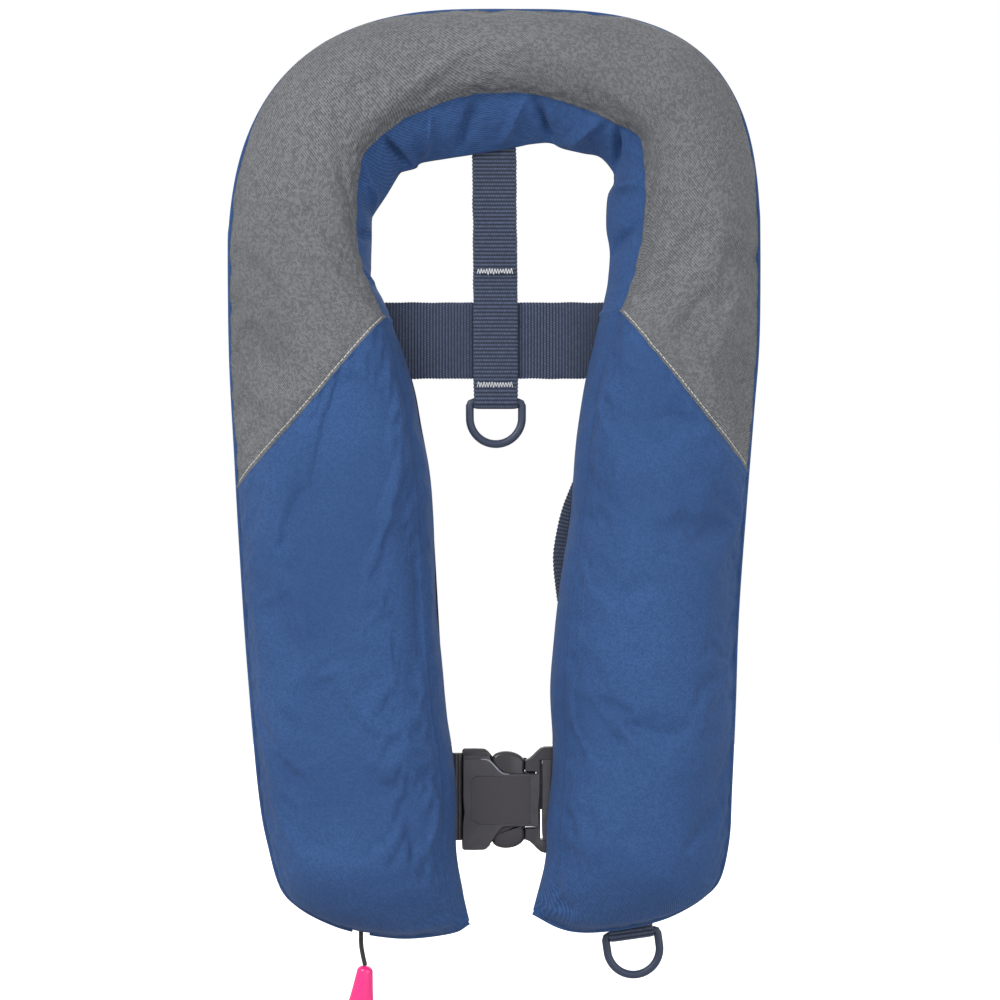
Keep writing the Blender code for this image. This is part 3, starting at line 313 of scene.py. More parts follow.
def clothMaterial(name, dark, light, threads, fleck, shadow, roughness=0.85, bump=0.00012):
    made, tree, principled = startMaterial(name, Roughness=roughness, Sheen_Weight=0.04, Sheen_Roughness=0.5,
                                          Specular_IOR_Level=0.25)
    parts = clothPlaces(tree)
    weave = placeGroup(tree, "weave", Threads=threads, Fleck=fleck, Dark=dark, Light=light)
    tree.links.new(parts[0], weave.inputs["Along"])
    tree.links.new(parts[1], weave.inputs["Across"])
    # broad, faint unevenness of the dyed cloth
    place = nodeOf(tree, "ShaderNodeTexCoord")
    patches = nodeOf(tree, "ShaderNodeTexNoise", Scale=13.0, Detail=3.0, Roughness=0.5)
    tree.links.new(place.outputs["Object"], patches.inputs["Vector"])
    shade = nodeOf(tree, "ShaderNodeMapRange")
    for key, value in (("From Min", 0.35), ("From Max", 0.7), ("To Min", 0.0), ("To Max", shadow)):
        shade.inputs[key].default_value = value
    tree.links.new(patches.outputs["Fac"], shade.inputs["Value"])
    dyed = mixColour(tree, shade.outputs[0], weave.outputs["Colour"], dark)
    tree.links.new(dyed, principled.inputs["Base Color"])
    addBump(tree, principled, weave.outputs["Height"], bump)
    return made


def webbingMaterial(name, colour, dark, light, ribs, threads):
    # rows of yarn floats: each rib carries short lighter dashes, set off by half a step from its neighbour
    made, tree, principled = startMaterial(name, Roughness=0.7, Sheen_Weight=0.15, Sheen_Roughness=0.4)
    parts = clothPlaces(tree)
    rib = mathNode(tree, "MULTIPLY", parts[0], ribs)
    row = mathNode(tree, "FLOOR", mathNode(tree, "ADD", rib, 0.25))
    shift = mathNode(tree, "MULTIPLY", row, 0.5)
    yarn = mathNode(tree, "ADD", mathNode(tree, "MULTIPLY", parts[1], threads), shift)
    dash, crest = waveOf(tree, yarn), waveOf(tree, rib)
    cell = nodeOf(tree, "ShaderNodeCombineXYZ")
    tree.links.new(row, cell.inputs[0])
    tree.links.new(mathNode(tree, "FLOOR", yarn), cell.inputs[1])
    flecks = nodeOf(tree, "ShaderNodeTexWhiteNoise", noise_dimensions="3D")
    tree.links.new(cell.outputs[0], flecks.inputs["Vector"])
    strength = mathNode(tree, "MULTIPLY", crest, mathNode(tree, "MULTIPLY_ADD", dash, 0.7, 0.3))
    fleck = mathNode(tree, "MULTIPLY_ADD", flecks.outputs["Value"], 0.5, 0.6)
    varied = mathNode(tree, "MULTIPLY", strength, fleck)
    body = mixColour(tree, crest, dark, colour)
    tree.links.new(mixColour(tree, varied, body, light), principled.inputs["Base Color"])
    height = mathNode(tree, "MULTIPLY", crest, mathNode(tree, "MULTIPLY_ADD", dash, 0.6, 0.4))
    addBump(tree, principled, height, 0.0003, 0.8)
    return made


def plasticMaterial(name, colour, worn, low, high, grain=900.0, bump=0.00002, wear=0.5, **shader):
    made, tree, principled = startMaterial(name, **shader)
    place = nodeOf(tree, "ShaderNodeTexCoord")
    fine = placeGroup(tree, "grain", Scale=grain, Low=low, High=high)
    rubbed = placeGroup(tree, "wear", Colour=colour, Worn=worn, Amount=wear)
    for target in (fine, rubbed):
        tree.links.new(place.outputs["Object"], target.inputs["Vector"])
    tree.links.new(rubbed.outputs["Colour"], principled.inputs["Base Color"])
    tree.links.new(fine.outputs["Roughness"], principled.inputs["Roughness"])
    addBump(tree, principled, fine.outputs["Height"], bump, 0.6)
    return made


def threadMaterial(name, colour):
    made, tree, principled = startMaterial(name, Roughness=0.6, Sheen_Weight=0.2)
    place = nodeOf(tree, "ShaderNodeTexCoord")
    twist = nodeOf(tree, "ShaderNodeTexNoise", Scale=1500.0, Detail=2.0)
    tree.links.new(place.outputs["Object"], twist.inputs["Vector"])
    darker = tuple(c * 0.7 for c in colour[:3]) + (1,)
    tree.links.new(mixColour(tree, twist.outputs["Fac"], darker, colour), principled.inputs["Base Color"])
    addBump(tree, principled, twist.outputs["Fac"], 0.0001)
    return made


def steelMaterial():
    made, tree, principled = startMaterial("cylinderSteel", Metallic=1.0)
    place = nodeOf(tree, "ShaderNodeTexCoord")
    stretch = nodeOf(tree, "ShaderNodeMapping")
    stretch.inputs["Scale"].default_value = (1, 1, 0.03)
    tree.links.new(place.outputs["Object"], stretch.inputs["Vector"])
    fine = placeGroup(tree, "grain", Scale=1200.0, Low=0.25, High=0.45)
    tree.links.new(stretch.outputs[0], fine.inputs["Vector"])
    rubbed = placeGroup(tree, "wear", Colour=(0.35, 0.36, 0.36, 1), Worn=(0.6, 0.6, 0.6, 1), Amount=0.4)
    tree.links.new(place.outputs["Object"], rubbed.inputs["Vector"])
    tree.links.new(rubbed.outputs["Colour"], principled.inputs["Base Color"])
    tree.links.new(fine.outputs["Roughness"], principled.inputs["Roughness"])
    return made


def paleFloor():
    made, tree, principled = startMaterial("paleFloor", Roughness=0.9)
    principled.inputs["Base Color"].default_value = (0.55, 0.55, 0.55, 1)
    principled.inputs["Emission Color"].default_value = (1, 1, 1, 1)
    rays = nodeOf(tree, "ShaderNodeLightPath")
    tree.links.new(rays.outputs["Is Camera Ray"], principled.inputs["Emission Strength"])
    return made


def braidMaterial(name, dark, light):
    # two families of strands winding opposite ways round the cord
    made, tree, principled = startMaterial(name, Roughness=0.65, Sheen_Weight=0.2)
    parts = clothPlaces(tree)
    windings = []
    for turnWay in (1.0, -1.0):
        slanted = mathNode(tree, "MULTIPLY_ADD", parts[1], turnWay, parts[0])
        windings.append(mathNode(tree, "SINE", mathNode(tree, "MULTIPLY", slanted, 2 * math.pi / 0.0011)))
    crossing = mathNode(tree, "MULTIPLY_ADD", mathNode(tree, "MULTIPLY", windings[0], windings[1]), 0.5, 0.5)
    tree.links.new(mixColour(tree, crossing, dark, light), principled.inputs["Base Color"])
    addBump(tree, principled, crossing, 0.0003)
    return made


finishes = {
    "blue": clothMaterial("blueCloth", (0.023, 0.062, 0.172, 1), (0.058, 0.138, 0.352, 1), 610.0, 0.35, 0.55),
    "grey": clothMaterial("greyCloth", (0.090, 0.092, 0.098, 1), (0.262, 0.272, 0.288, 1), 590.0, 0.5, 0.30),
    "lining": clothMaterial("liningCloth", (0.008, 0.008, 0.010, 1), (0.034, 0.035, 0.040, 1), 380.0, 0.4,
                            0.4, bump=0.00025),
    "strap": webbingMaterial("strapWebbing", (0.030, 0.046, 0.092, 1), (0.010, 0.014, 0.032, 1),
                             (0.095, 0.130, 0.215, 1), 400.0, 620.0),
    "belt": webbingMaterial("beltWebbing", (0.026, 0.042, 0.092, 1), (0.009, 0.012, 0.028, 1),
                            (0.080, 0.115, 0.200, 1), 497.0, 620.0),
    "whiteThread": threadMaterial("whiteThread", (0.80, 0.81, 0.82, 1)),
    "paleThread": threadMaterial("paleThread", (0.74, 0.72, 0.66, 1)),
    "blueThread": threadMaterial("blueThread", (0.050, 0.115, 0.30, 1)),
    "steel": steelMaterial(),
    "braid": braidMaterial("blackBraid", (0.012, 0.012, 0.014, 1), (0.05, 0.05, 0.055, 1)),
}
plastics = {
    # colour, worn colour, least and most roughness, then what differs from the usual grain, bump and wear
    "blackPlastic": ((0.040, 0.036, 0.044), (0.16, 0.16, 0.18), 0.28, 0.46, {}),
    "navyPlastic": ((0.030, 0.044, 0.085), (0.12, 0.14, 0.20), 0.30, 0.50, {}),
    "pinkPlastic": ((1.0, 0.030, 0.26), (1.0, 0.25, 0.48), 0.18, 0.30,
                    {"grain": 300.0, "bump": 0.00001, "wear": 0.2, "Coat_Weight": 0.3}),
    "yellowPlastic": ((0.85, 0.66, 0.03), (0.95, 0.85, 0.3), 0.25, 0.4, {}),
    "greenPlastic": ((0.04, 0.42, 0.08), (0.2, 0.6, 0.25), 0.3, 0.45, {}),
    "blackRubber": ((0.018, 0.018, 0.02), (0.06, 0.06, 0.06), 0.5, 0.7, {}),
    "bladderCloth": ((0.82, 0.62, 0.03), (0.9, 0.8, 0.3), 0.4, 0.6, {"grain": 700.0, "bump": 0.0001}),
    # pale bluish plastic: a painted highlight, for the bead along the buckle's upper curve and the plug's
    # grip points
    "highlightPlastic": ((0.30, 0.31, 0.36), (0.5, 0.5, 0.55), 0.12, 0.2,
                   {"grain": 500.0, "bump": 0.000005, "wear": 0.2}),
    "glossPlastic": ((0.036, 0.035, 0.040), (0.12, 0.12, 0.13), 0.14, 0.24,
                     {"grain": 500.0, "bump": 0.00001, "wear": 0.3}),
}
for name, (colour, worn, low, high, other) in plastics.items():
    finishes[name] = plasticMaterial(name, (*colour, 1), (*worn, 1), low, high, **other)
print("materials made:", len(finishes))


# Meshes from rows of points.

def meshObject(name, mesh, finish):
    data = bpy.data.meshes.new(name)
    mesh.to_mesh(data)
    mesh.free()
    if finish:
        data.materials.append(finish)
    data.shade_smooth()
    return placed(name, data)


def fromArrays(name, points, faces, finish, uvs=None):
    # points in millimetres, faces as rows of corner numbers, uvs in metres for each point
    data = bpy.data.meshes.new(name)
    data.from_pydata(toMetres(points).tolist(), [], [tuple(face) for face in faces])
    if uvs is not None:
        layer = data.uv_layers.new(name="cloth")
        corners = np.empty(len(data.loops), int)
        data.loops.foreach_get("vertex_index", corners)
        layer.data.foreach_set("uv", np.asarray(uvs, np.float32)[corners].ravel())
    data.materials.append(finish)
    data.shade_smooth()
    return placed(name, data)


def gridFaces(rows, columns, closed=False, wrapRows=False):
    faces = []
    lastRow = rows if wrapRows else rows - 1
    lastColumn = columns if closed else columns - 1
    for r in range(lastRow):
        for c in range(lastColumn):
            a, b = r * columns + c, r * columns + (c + 1) % columns
            down = (r + 1) % rows * columns
            faces.append((a, b, down + (c + 1) % columns, down + c))
    return faces


def tubeFaces(rows, columns):
    # rings joined in order, with flat ends
    last = (rows - 1) * columns
    return gridFaces(rows, columns, closed=True) + [tuple(range(columns)),
                                                    tuple(last + c for c in range(columns))[::-1]]


def faceOutwards(obj, sharp=None):
    turned = bmesh.new()
    turned.from_mesh(obj.data)
    bmesh.ops.recalc_face_normals(turned, faces=turned.faces)
    turned.to_mesh(obj.data)
    turned.free()
    obj.data.shade_smooth()
    if sharp:
        obj.data.set_sharp_from_angle(angle=math.radians(sharp))


def declare(obj, body, slotName, *nodes, fill=None):
    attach(obj, body)
    if nodes:
        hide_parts(*nodes)


def clothPiece(name, grid, finish, place, thickness=0.9):
    # a sheet of cloth with real thickness behind its outer face
    rows, columns = grid.shape[:2]
    made = fromArrays(name, grid.reshape(-1, 3), gridFaces(rows, columns), finish, place.reshape(-1, 2))
    solid = made.modifiers.new("thickness", "SOLIDIFY")
    solid.thickness = thickness * 0.001
    solid.offset = -1.0
    return made


def clothPlace(grid):
    # where each point lies on the flat cloth: the weave keeps its size on slopes that turn away
    step = np.diff(grid, axis=1)
    plan = np.maximum(np.linalg.norm(step[:, :, [0, 2]], axis=2), 0.15)
    stretch = np.clip(np.linalg.norm(step, axis=2) / plan, 1, 6)
    moved = np.cumsum(step[:, :, [0, 2]] * stretch[:, :, None], axis=1)
    return (grid[:, :1, [0, 2]] + np.concatenate([np.zeros((len(grid), 1, 2)), moved], axis=1)) * 0.001


# Lines.

def smoothLine(points, steps=10):
    # a Catmull-Rom curve through the points
    points = np.asarray(points, float)
    padded = np.vstack([2 * points[0] - points[1], points, 2 * points[-1] - points[-2]])
    share = (np.arange(steps) / steps)[:, None]
    line = []
    for p0, p1, p2, p3 in zip(padded, padded[1:], padded[2:], padded[3:]):
        line.append(0.5 * (2 * p1 + (p2 - p0) * share + (2 * p0 - 5 * p1 + 4 * p2 - p3) * share ** 2
                           + (3 * p1 - p0 - 3 * p2 + p3) * share ** 3))
    return np.vstack(line + [points[-1:]])


def reaches(line):
    return np.concatenate([[0], np.cumsum(np.linalg.norm(np.diff(line, axis=0), axis=1))])


def along(line, shares):
    # points at shares of the line's length
    total = reaches(line)
    goal = np.atleast_1d(shares) * total[-1]
    return np.stack([np.interp(goal, total, line[:, k]) for k in range(line.shape[1])], axis=1)


def evenly(line, spacing):
    count = max(2, int(round(reaches(line)[-1] / spacing)) + 1)
    return along(line, np.linspace(0, 1, count))


def insetLine(line, distance, sign):
    tangent = np.gradient(line, axis=0)
    tangent /= np.maximum(np.linalg.norm(tangent, axis=1)[:, None], 1e-9)
    return line + np.stack([tangent[:, 1], -tangent[:, 0]], axis=1) * distance * sign


def cutAtLevel(line, level):
    # splits a line where it first passes below the level
    low = int(np.argmax(line[:, 1] < level))
    if line[low, 1] >= level:
        return line, line[-1:]
    t = (line[low - 1, 1] - level) / (line[low - 1, 1] - line[low, 1])
    point = mixed(line[low - 1], line[low], t)[None]
    return np.vstack([line[:low], point]), np.vstack([point, line[low:]])


# Swept tapes and tubes.

def framesAlong(line, outward, closed=False):
    # unit tangents, and sideways and outward directions at each point of a 3-D line
    tangent = np.roll(line, -1, axis=0) - np.roll(line, 1, axis=0) if closed else np.gradient(line, axis=0)
    tangent /= np.maximum(np.linalg.norm(tangent, axis=1)[:, None], 1e-9)
    outward = outward - tangent * np.sum(outward * tangent, axis=1)[:, None]
    outward /= np.maximum(np.linalg.norm(outward, axis=1)[:, None], 1e-9)
    return tangent, np.cross(tangent, outward), outward


def towardsFront(line):
    return np.tile([0.0, -1.0, 0.0], (len(line), 1))


def lengthsAndWidths(lengths, widths):
    # cloth places, in metres, for rings of points
    grid = np.stack(np.broadcast_arrays(lengths[:, None], widths[None]), axis=2)
    return grid.reshape(-1, 2) * 0.001


def sweep(name, line, outward, profile, finish, closed=False, scales=None):
    # profile points (sideways, outward) carried along the line
    _, side, out = framesAlong(line, outward, closed)
    profile = np.asarray(profile, float)
    size = np.ones(len(line)) if scales is None else scales
    rings = (line[:, None] + side[:, None] * profile[None, :, 0, None] * size[:, None, None]
             + out[:, None] * profile[None, :, 1, None] * size[:, None, None])
    rows, columns = rings.shape[:2]
    faces = gridFaces(rows, columns, closed=True, wrapRows=True) if closed else tubeFaces(rows, columns)
    around = np.concatenate([[0], np.cumsum(np.linalg.norm(np.diff(profile, axis=0), axis=1))])
    made = fromArrays(name, rings.reshape(-1, 3), faces, finish, lengthsAndWidths(reaches(line), around))
    faceOutwards(made, 60)
    return made


def roundProfile(radius, sides=12):
    turn = np.linspace(0, 2 * np.pi, sides, endpoint=False)
    return np.stack([np.cos(turn), np.sin(turn)], axis=1) * radius


makeCamera()
makeStudio()


# Pull cord and its grip.

pull = {
    "exit": (-86.5, 14.2, -454.0), "hem": (-86.5, 14.2, -512.5), "radius": 1.5,
    "lean": 7.0, "gripTop": (2.9, 0, -18.4), "gripSides": 40,
    # the cord below the hem (x, height), then the grip's rings (distance down, half width, half depth)
    "free": [(0.0, -1.0), (0.05, -3), (0.3, -6), (0.9, -9.5), (1.6, -13), (2.3, -16), (2.6, -17.6)],
    "grip": [(-0.6, 0.4, 0.4), (-0.4, 2.2, 2.0), (0.4, 3.6, 3.2), (2.0, 5.0, 4.4), (6.0, 5.6, 4.8),
             (20.0, 7.6, 5.2), (34.0, 10.4, 5.4), (46.0, 12.4, 5.2), (53.0, 12.0, 4.6), (56.4, 9.4, 3.4),
             (57.6, 6.0, 2.0), (57.9, 1.0, 0.4)],
}


def makePull():
    hem = np.array(pull["hem"])
    inner = mixed(np.array(pull["exit"]), hem, np.linspace(0, 1, 12)[:, None])
    free = hem + np.array([(x, 0, z) for x, z in pull["free"]])
    line = evenly(smoothLine(np.vstack([inner, free]), 6), 0.8)
    cord = sweep("pullCord", line, towardsFront(line), roundProfile(pull["radius"], 14), finishes["braid"])
    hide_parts("inner_pull_cord", "pull_cord")

    lean = math.radians(pull["lean"])
    down = np.array([-math.sin(lean), 0, -math.cos(lean)])
    across = np.array([math.cos(lean), 0, -math.sin(lean)])
    table = smoothLine(pull["grip"], 6)
    turn = np.linspace(0, 2 * np.pi, pull["gripSides"], endpoint=False)
    top = hem + pull["gripTop"]
    rings = [top + down * d + np.cos(turn)[:, None] * across * wide
             + np.sin(turn)[:, None] * np.array([0, deep, 0]) for d, wide, deep in table]
    grip = fromArrays("pullGrip", np.vstack(rings), tubeFaces(len(rings), len(turn)), finishes["pinkPlastic"])
    faceOutwards(grip)
    declare(grip, "toggle", "toggle_pink", "pull_toggle")
    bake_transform(cord)


makePull()


# Hardware refined from the frame's own shapes.

hardware = {
    # node: piece, body, finish, slot, rounding in millimetres
    "buckle_plug": ("bucklePlug", "plug", "blackPlastic", "plastic_black", 0.5),
    "belt_adjuster": ("beltAdjuster", "adjuster", "blackPlastic", "plastic_black", 0.6),
    "belt_keeper": ("beltKeeper", "keeper", "blackRubber", "lining_black", 0.4),
    "inflator_body": ("inflatorBody", "root", "blackPlastic", "plastic_black", 0.8),
    "auto_cap": ("autoCap", "cartridge", "yellowPlastic", "cap_yellow", 0.8),
    "firing_lever": ("firingLever", "lever", "blackPlastic", "plastic_black", 0.3),
    "gas_cylinder": ("gasCylinder", "bottle", "steel", "cylinder_steel", 0.5),
    "status_clip": ("statusClip", "root", "greenPlastic", "clip_green", 0.4),
    "oral_valve": ("oralValve", "root", "blackPlastic", "plastic_black", 0.5),
    "valve_cap": ("valveCap", "tube_cap", "blackRubber", "tube_black", 0.6),
    "oral_tube": ("oralTube", "root", "blackRubber", "tube_black", 0.4),
    "whistle": ("signalWhistle", "root", "yellowPlastic", "cap_yellow", 0.8),
}


def rounded(obj, width):
    bevel = obj.modifiers.new("rounded", "BEVEL")
    bevel.width, bevel.segments = width * 0.001, 3
    return bevel


def copiedMesh(node, angle=4.0):
    copy = bmesh.new()
    copy.from_mesh(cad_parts[node].data)
    bmesh.ops.remove_doubles(copy, verts=copy.verts, dist=0.00002)
    if angle:
        bmesh.ops.dissolve_limit(copy, angle_limit=math.radians(angle), verts=copy.verts, edges=copy.edges)
    bmesh.ops.recalc_face_normals(copy, faces=copy.faces)
    return copy


def refinedCopy(node):
    piece, body, finish, slotName, rounding = hardware[node]
    made = meshObject(piece, copiedMesh(node), finishes[finish])
    bevel = rounded(made, rounding)
    bevel.limit_method = "ANGLE"
    bevel.angle_limit = math.radians(32)
    bevel.miter_outer = "MITER_ARC"
    made.modifiers.new("evenShading", "WEIGHTED_NORMAL").keep_sharp = True
    declare(made, body, slotName, node)


# Buckle.

buckle = {
    "level": -423.7, "y": 31.0,
    # upper outlines (x, height) from the left end to the mouth: silhouette, and the front face's rim
    "outer": [(-21.2, 16.0), (-21.2, 29.0), (-20.9, 32.2), (-19.6, 33.2), (-13.0, 33.3), (-7.2, 33.1)],
    "face": [(-20.2, 16.0), (-20.2, 23.5), (-19.9, 26.2), (-19.0, 26.9), (-13.0, 27.0), (-5.8, 26.7)],
    "outerCurve": ((-7.2, 33.1), (8.0, 17.9)), "faceCurve": ((-5.8, 26.7), (7.8, 17.2)),
    "mouth": 30.0, "outerMouth": 27.4, "panel": (4.25, 19.15, 15.6),
    "pad": [(27.0, 12.7), (27.0, 16.0), (20.6, 17.6), (20.2, 21.0), (20.1, 25.2), (17.6, 28.6), (13.4, 30.9),
            (8.2, 31.8), (3.4, 31.2), (-0.1, 29.3), (-1.3, 26.6), (-0.9, 22.0), (2.5, 15.8), (9.0, 12.2)],
}


def closedSolid(name, rings, finish, sharp):
    made = fromArrays(name, np.vstack(rings), tubeFaces(len(rings), len(rings[0])), finishes[finish])
    faceOutwards(made, sharp)
    return made


def atDepth(flat, depth):
    y = np.full(len(flat), buckle["y"] + depth)
    return np.stack([flat[:, 0], y, flat[:, 1] + buckle["level"]], axis=1)


def sCurve(start, end, count=14):
    t = np.linspace(0, 1, count + 1)[1:]
    ease = (1 - np.cos(np.pi * t)) / 2
    return np.stack([mixed(start[0], end[0], t), mixed(start[1], end[1], ease)], axis=1)


def insetLoop(flat, distance):
    # moves a closed outline inwards along its corner bisectors
    ahead, behind = np.roll(flat, -1, axis=0) - flat, flat - np.roll(flat, 1, axis=0)
    ahead /= np.linalg.norm(ahead, axis=1)[:, None]
    behind /= np.linalg.norm(behind, axis=1)[:, None]
    tangent = ahead + behind
    tangent /= np.linalg.norm(tangent, axis=1)[:, None]
    normal = np.stack([-tangent[:, 1], tangent[:, 0]], axis=1)
    area = np.sum(flat[:, 0] * np.roll(flat[:, 1], -1) - np.roll(flat[:, 0], -1) * flat[:, 1])
    return flat + normal * distance * np.sign(area)


def boxPiece(name, low, high, finish, rounding=0.3):
    mesh = bmesh.new()
    bmesh.ops.create_cube(mesh, size=1.0)
    low, high = np.array(low, float), np.array(high, float)
    for vertex in mesh.verts:
        vertex.co = Vector(toMetres((low + high) / 2 + np.array(vertex.co) * (high - low)))
    made = meshObject(name, mesh, finishes[finish] if finish else None)
    if rounding:
        rounded(made, rounding)
        made.modifiers.new("evenShading", "WEIGHTED_NORMAL")
    return made


def cutAway(obj, boxes):
    for low, high in boxes:
        cutter = boxPiece("cutter", low, high, None, 0)
        boolean = obj.modifiers.new("cut", "BOOLEAN")
        boolean.operation, boolean.object, boolean.solver = "DIFFERENCE", cutter, "EXACT"
        cut = bpy.data.meshes.new_from_object(obj.evaluated_get(bpy.context.evaluated_depsgraph_get()))
        obj.modifiers.clear()
        obj.data = cut
        bpy.data.objects.remove(cutter, do_unlink=True)
    obj.data.shade_smooth()
    obj.data.set_sharp_from_angle(angle=math.radians(35))


def plainBoxes(body, boxes):
    # corners from the buckle's middle, then the rounding
    middle = np.array((0, buckle["y"], buckle["level"]))
    for name, (low, high, rounding) in boxes.items():
        declare(boxPiece(name, middle + low, middle + high, "blackPlastic", rounding), body, "plastic_black")


def housingOutline(kind, lowKind, mouth):
    # one half's upper edge from the left end to the mouth, and the other's below it
    top, low = (np.vstack([buckle[edge], sCurve(*buckle[edge + "Curve"]),
                           [(x, buckle[edge + "Curve"][1][1]) for x in np.linspace(12, mouth, 6)]])
                for edge in (kind, lowKind))
    side = np.array([(mouth, z) for z in (11.0, 4.0, -4.0, -11.0)])
    back = np.array([(buckle[kind][0][0], z) for z in (-8.0, 0.0, 8.0)])
    return np.vstack([top, side, low[::-1] * (1, -1), back])


def makeHousing():
    outer = housingOutline("outer", "outer", buckle["outerMouth"])
    face = housingOutline("face", "outer", buckle["mouth"])
    low = face[:, 1] < 0
    face[low] = insetLoop(face, 0.8)[low]
    midX, halfX, halfZ = buckle["panel"]
    away = face - (midX, 0)
    reach = np.maximum(np.abs(away[:, 0]) / halfX, np.abs(away[:, 1]) / halfZ)
    panel = away / reach[:, None] + (midX, 0)
    layers = [(insetLoop(outer, 1.0), 7.0), (outer, 6.2), (outer, -0.8), (mixed(outer, face, 0.26), -1.6),
              (mixed(outer, face, 0.34), -2.8), (mixed(outer, face, 0.72), -4.3),
              (mixed(outer, face, 0.82), -6.2), (face, -7.1), (insetLoop(face, 0.35), -7.5),
              (mixed(panel, face, 0.03), -7.55), (panel, -7.1)]
    made = closedSolid("buckleHousing", [atDepth(flat, depth) for flat, depth in layers], "blackPlastic", 25)
    y, level = buckle["y"], buckle["level"]
    cutAway(made, [((-16.0, y - 4.2, level - 6), (40.0, y + 4.2, level + 6)),
                   ((-2.6, y - 4.7, level - 33), (40.0, y + 4.7, level + 33)),
                   ((27.3, y - 6.1, level - 33), (40.0, y + 9, level + 33))])
    declare(made, "root", "plastic_black", "buckle_housing")
    # the ladder end that holds the webbing, with its cross groove between two ribs, and the bar on two arms
    plainBoxes("root", {
        "housingLadder": ((-29.0, -3.4, -26.6), (-21.0, 3.4, 30.6), 0.8),
        "housingRib0": ((-23.3, -4.6, -26.2), (-21.9, -3.0, 30.2), 0.5),
        "housingRib1": ((-25.5, -4.6, -26.2), (-24.1, -3.0, 30.4), 0.5),
        "housingBarArm0": ((-37.0, -2.2, 26.6), (-28.0, 2.2, 30.6), 0.7),
        "housingBarArm1": ((-37.0, -2.2, -30.6), (-28.0, 2.2, -26.6), 0.7),
        "housingBar": ((-36.5, -2.0, -29.0), (-32.5, 2.0, 29.0), 0.9)})
    # a pale bead along the upper curve: a painted highlight where the housing's rounded edge catches the
    # light
    curve = np.vstack([[(-8.5, 26.95), (-5.8, 26.7)], sCurve(*buckle["faceCurve"]), [(10.0, 17.15)]])
    highlightLine = atDepth(evenly(insetLine(curve, 0.1, 1), 0.6), -7.35)
    taper = np.sin(np.linspace(0.15, np.pi - 0.1, len(highlightLine))) ** 0.5
    highlightBead = sweep("housingHighlightBead", highlightLine, towardsFront(highlightLine), roundProfile(0.55, 10), finishes["highlightPlastic"],
                scales=taper)
    declare(highlightBead, "root", "plastic_black")


def makeLatchPads():
    turned = smoothLine(np.array(buckle["pad"] + buckle["pad"][:1]), 5)[:-1]
    for side, sign, finish in (("upper", 1, "glossPlastic"), ("lower", -1, "blackPlastic")):
        outline = turned * (1, sign)
        rings = [atDepth(insetLoop(outline, inset), depth) for inset, depth in
                 ((2.6, 4.45), (1.4, 4.2), (0.5, 3.4), (0.0, 1.6), (0.0, -1.6), (0.5, -3.4), (1.4, -4.2),
                  (2.6, -4.45))]
        made = closedSolid(f"{side}LatchArm", rings, finish, 60)
        declare(made, f"{side}_latch", "plastic_black", f"latch_arm_{side}")


def makePlugDetails():
    plainBoxes("plug", {
        "plugBarCover": ((31.6, -6.9, -26.4), (38.6, -5.2, 26.4), 0.5),
        "plugWeb": ((29.9, -2.4, -6.3), (31.5, -0.8, 26.2), 0.2),
        "upperTongue": ((15.5, 4.8, 18.9), (21.4, 5.7, 27.0), 0.2),
        "lowerTongue": ((15.5, 4.8, -27.0), (21.4, 5.7, -18.9), 0.2)})
    # a row of moulded grip points beside the slot, coloured pale as painted highlights
    mesh = bmesh.new()
    for z in np.arange(-5.4, 25.4, 1.05):
        spot = (31.0 + 0.012 * z, buckle["y"] - 2.7, buckle["level"] + z)
        point = Matrix.Translation(Vector(toMetres(spot)))
        bmesh.ops.create_icosphere(mesh, subdivisions=2, radius=0.00034, matrix=point)
    declare(meshObject("plugGripPoints", mesh, finishes["highlightPlastic"]), "plug", "plastic_black")


makeHousing()
makeLatchPads()
makePlugDetails()


for node in hardware:
    refinedCopy(node)


def softCopy(node, name, finish, slotName, bump, size, fill=None):
    # a rounded and slightly crumpled copy of one of the frame's soft shapes
    made = meshObject(name, copiedMesh(node, 0), finishes[finish])
    smooth = made.modifiers.new("smooth", "SUBSURF")
    smooth.levels = smooth.render_levels = 2
    smooth.subdivision_type = "SIMPLE"
    evaluated = made.evaluated_get(bpy.context.evaluated_depsgraph_get())
    dense = bpy.data.meshes.new_from_object(evaluated)
    made.modifiers.clear()
    made.data = dense
    places, normals = (np.empty(len(dense.vertices) * 3, np.float32) for _ in range(2))
    dense.vertices.foreach_get("co", places)
    dense.vertices.foreach_get("normal", normals)
    places, normals = places.reshape(-1, 3), normals.reshape(-1, 3)
    push = np.array([noise.noise(Vector(p)) for p in places * (1000 / size)]) * bump * 0.001
    dense.vertices.foreach_set("co", (places + normals * push[:, None]).ravel())
    dense.shade_smooth()
    declare(made, "root", slotName, node, fill=fill)


softCopy("bladder", "bladderCloth", "bladderCloth", "bladder_yellow", 0.7, 16.0, fill=0.1)
for kind in ("Hook", "Loop"):
    for side in ("left", "right"):
        softCopy(f"{kind.lower()}_strip_{side}", f"{side}{kind}Strip", "lining", "lining_black", 0.12, 3.0)
print("hardware refined")


# The cover's pattern, on the same lines as the frame.

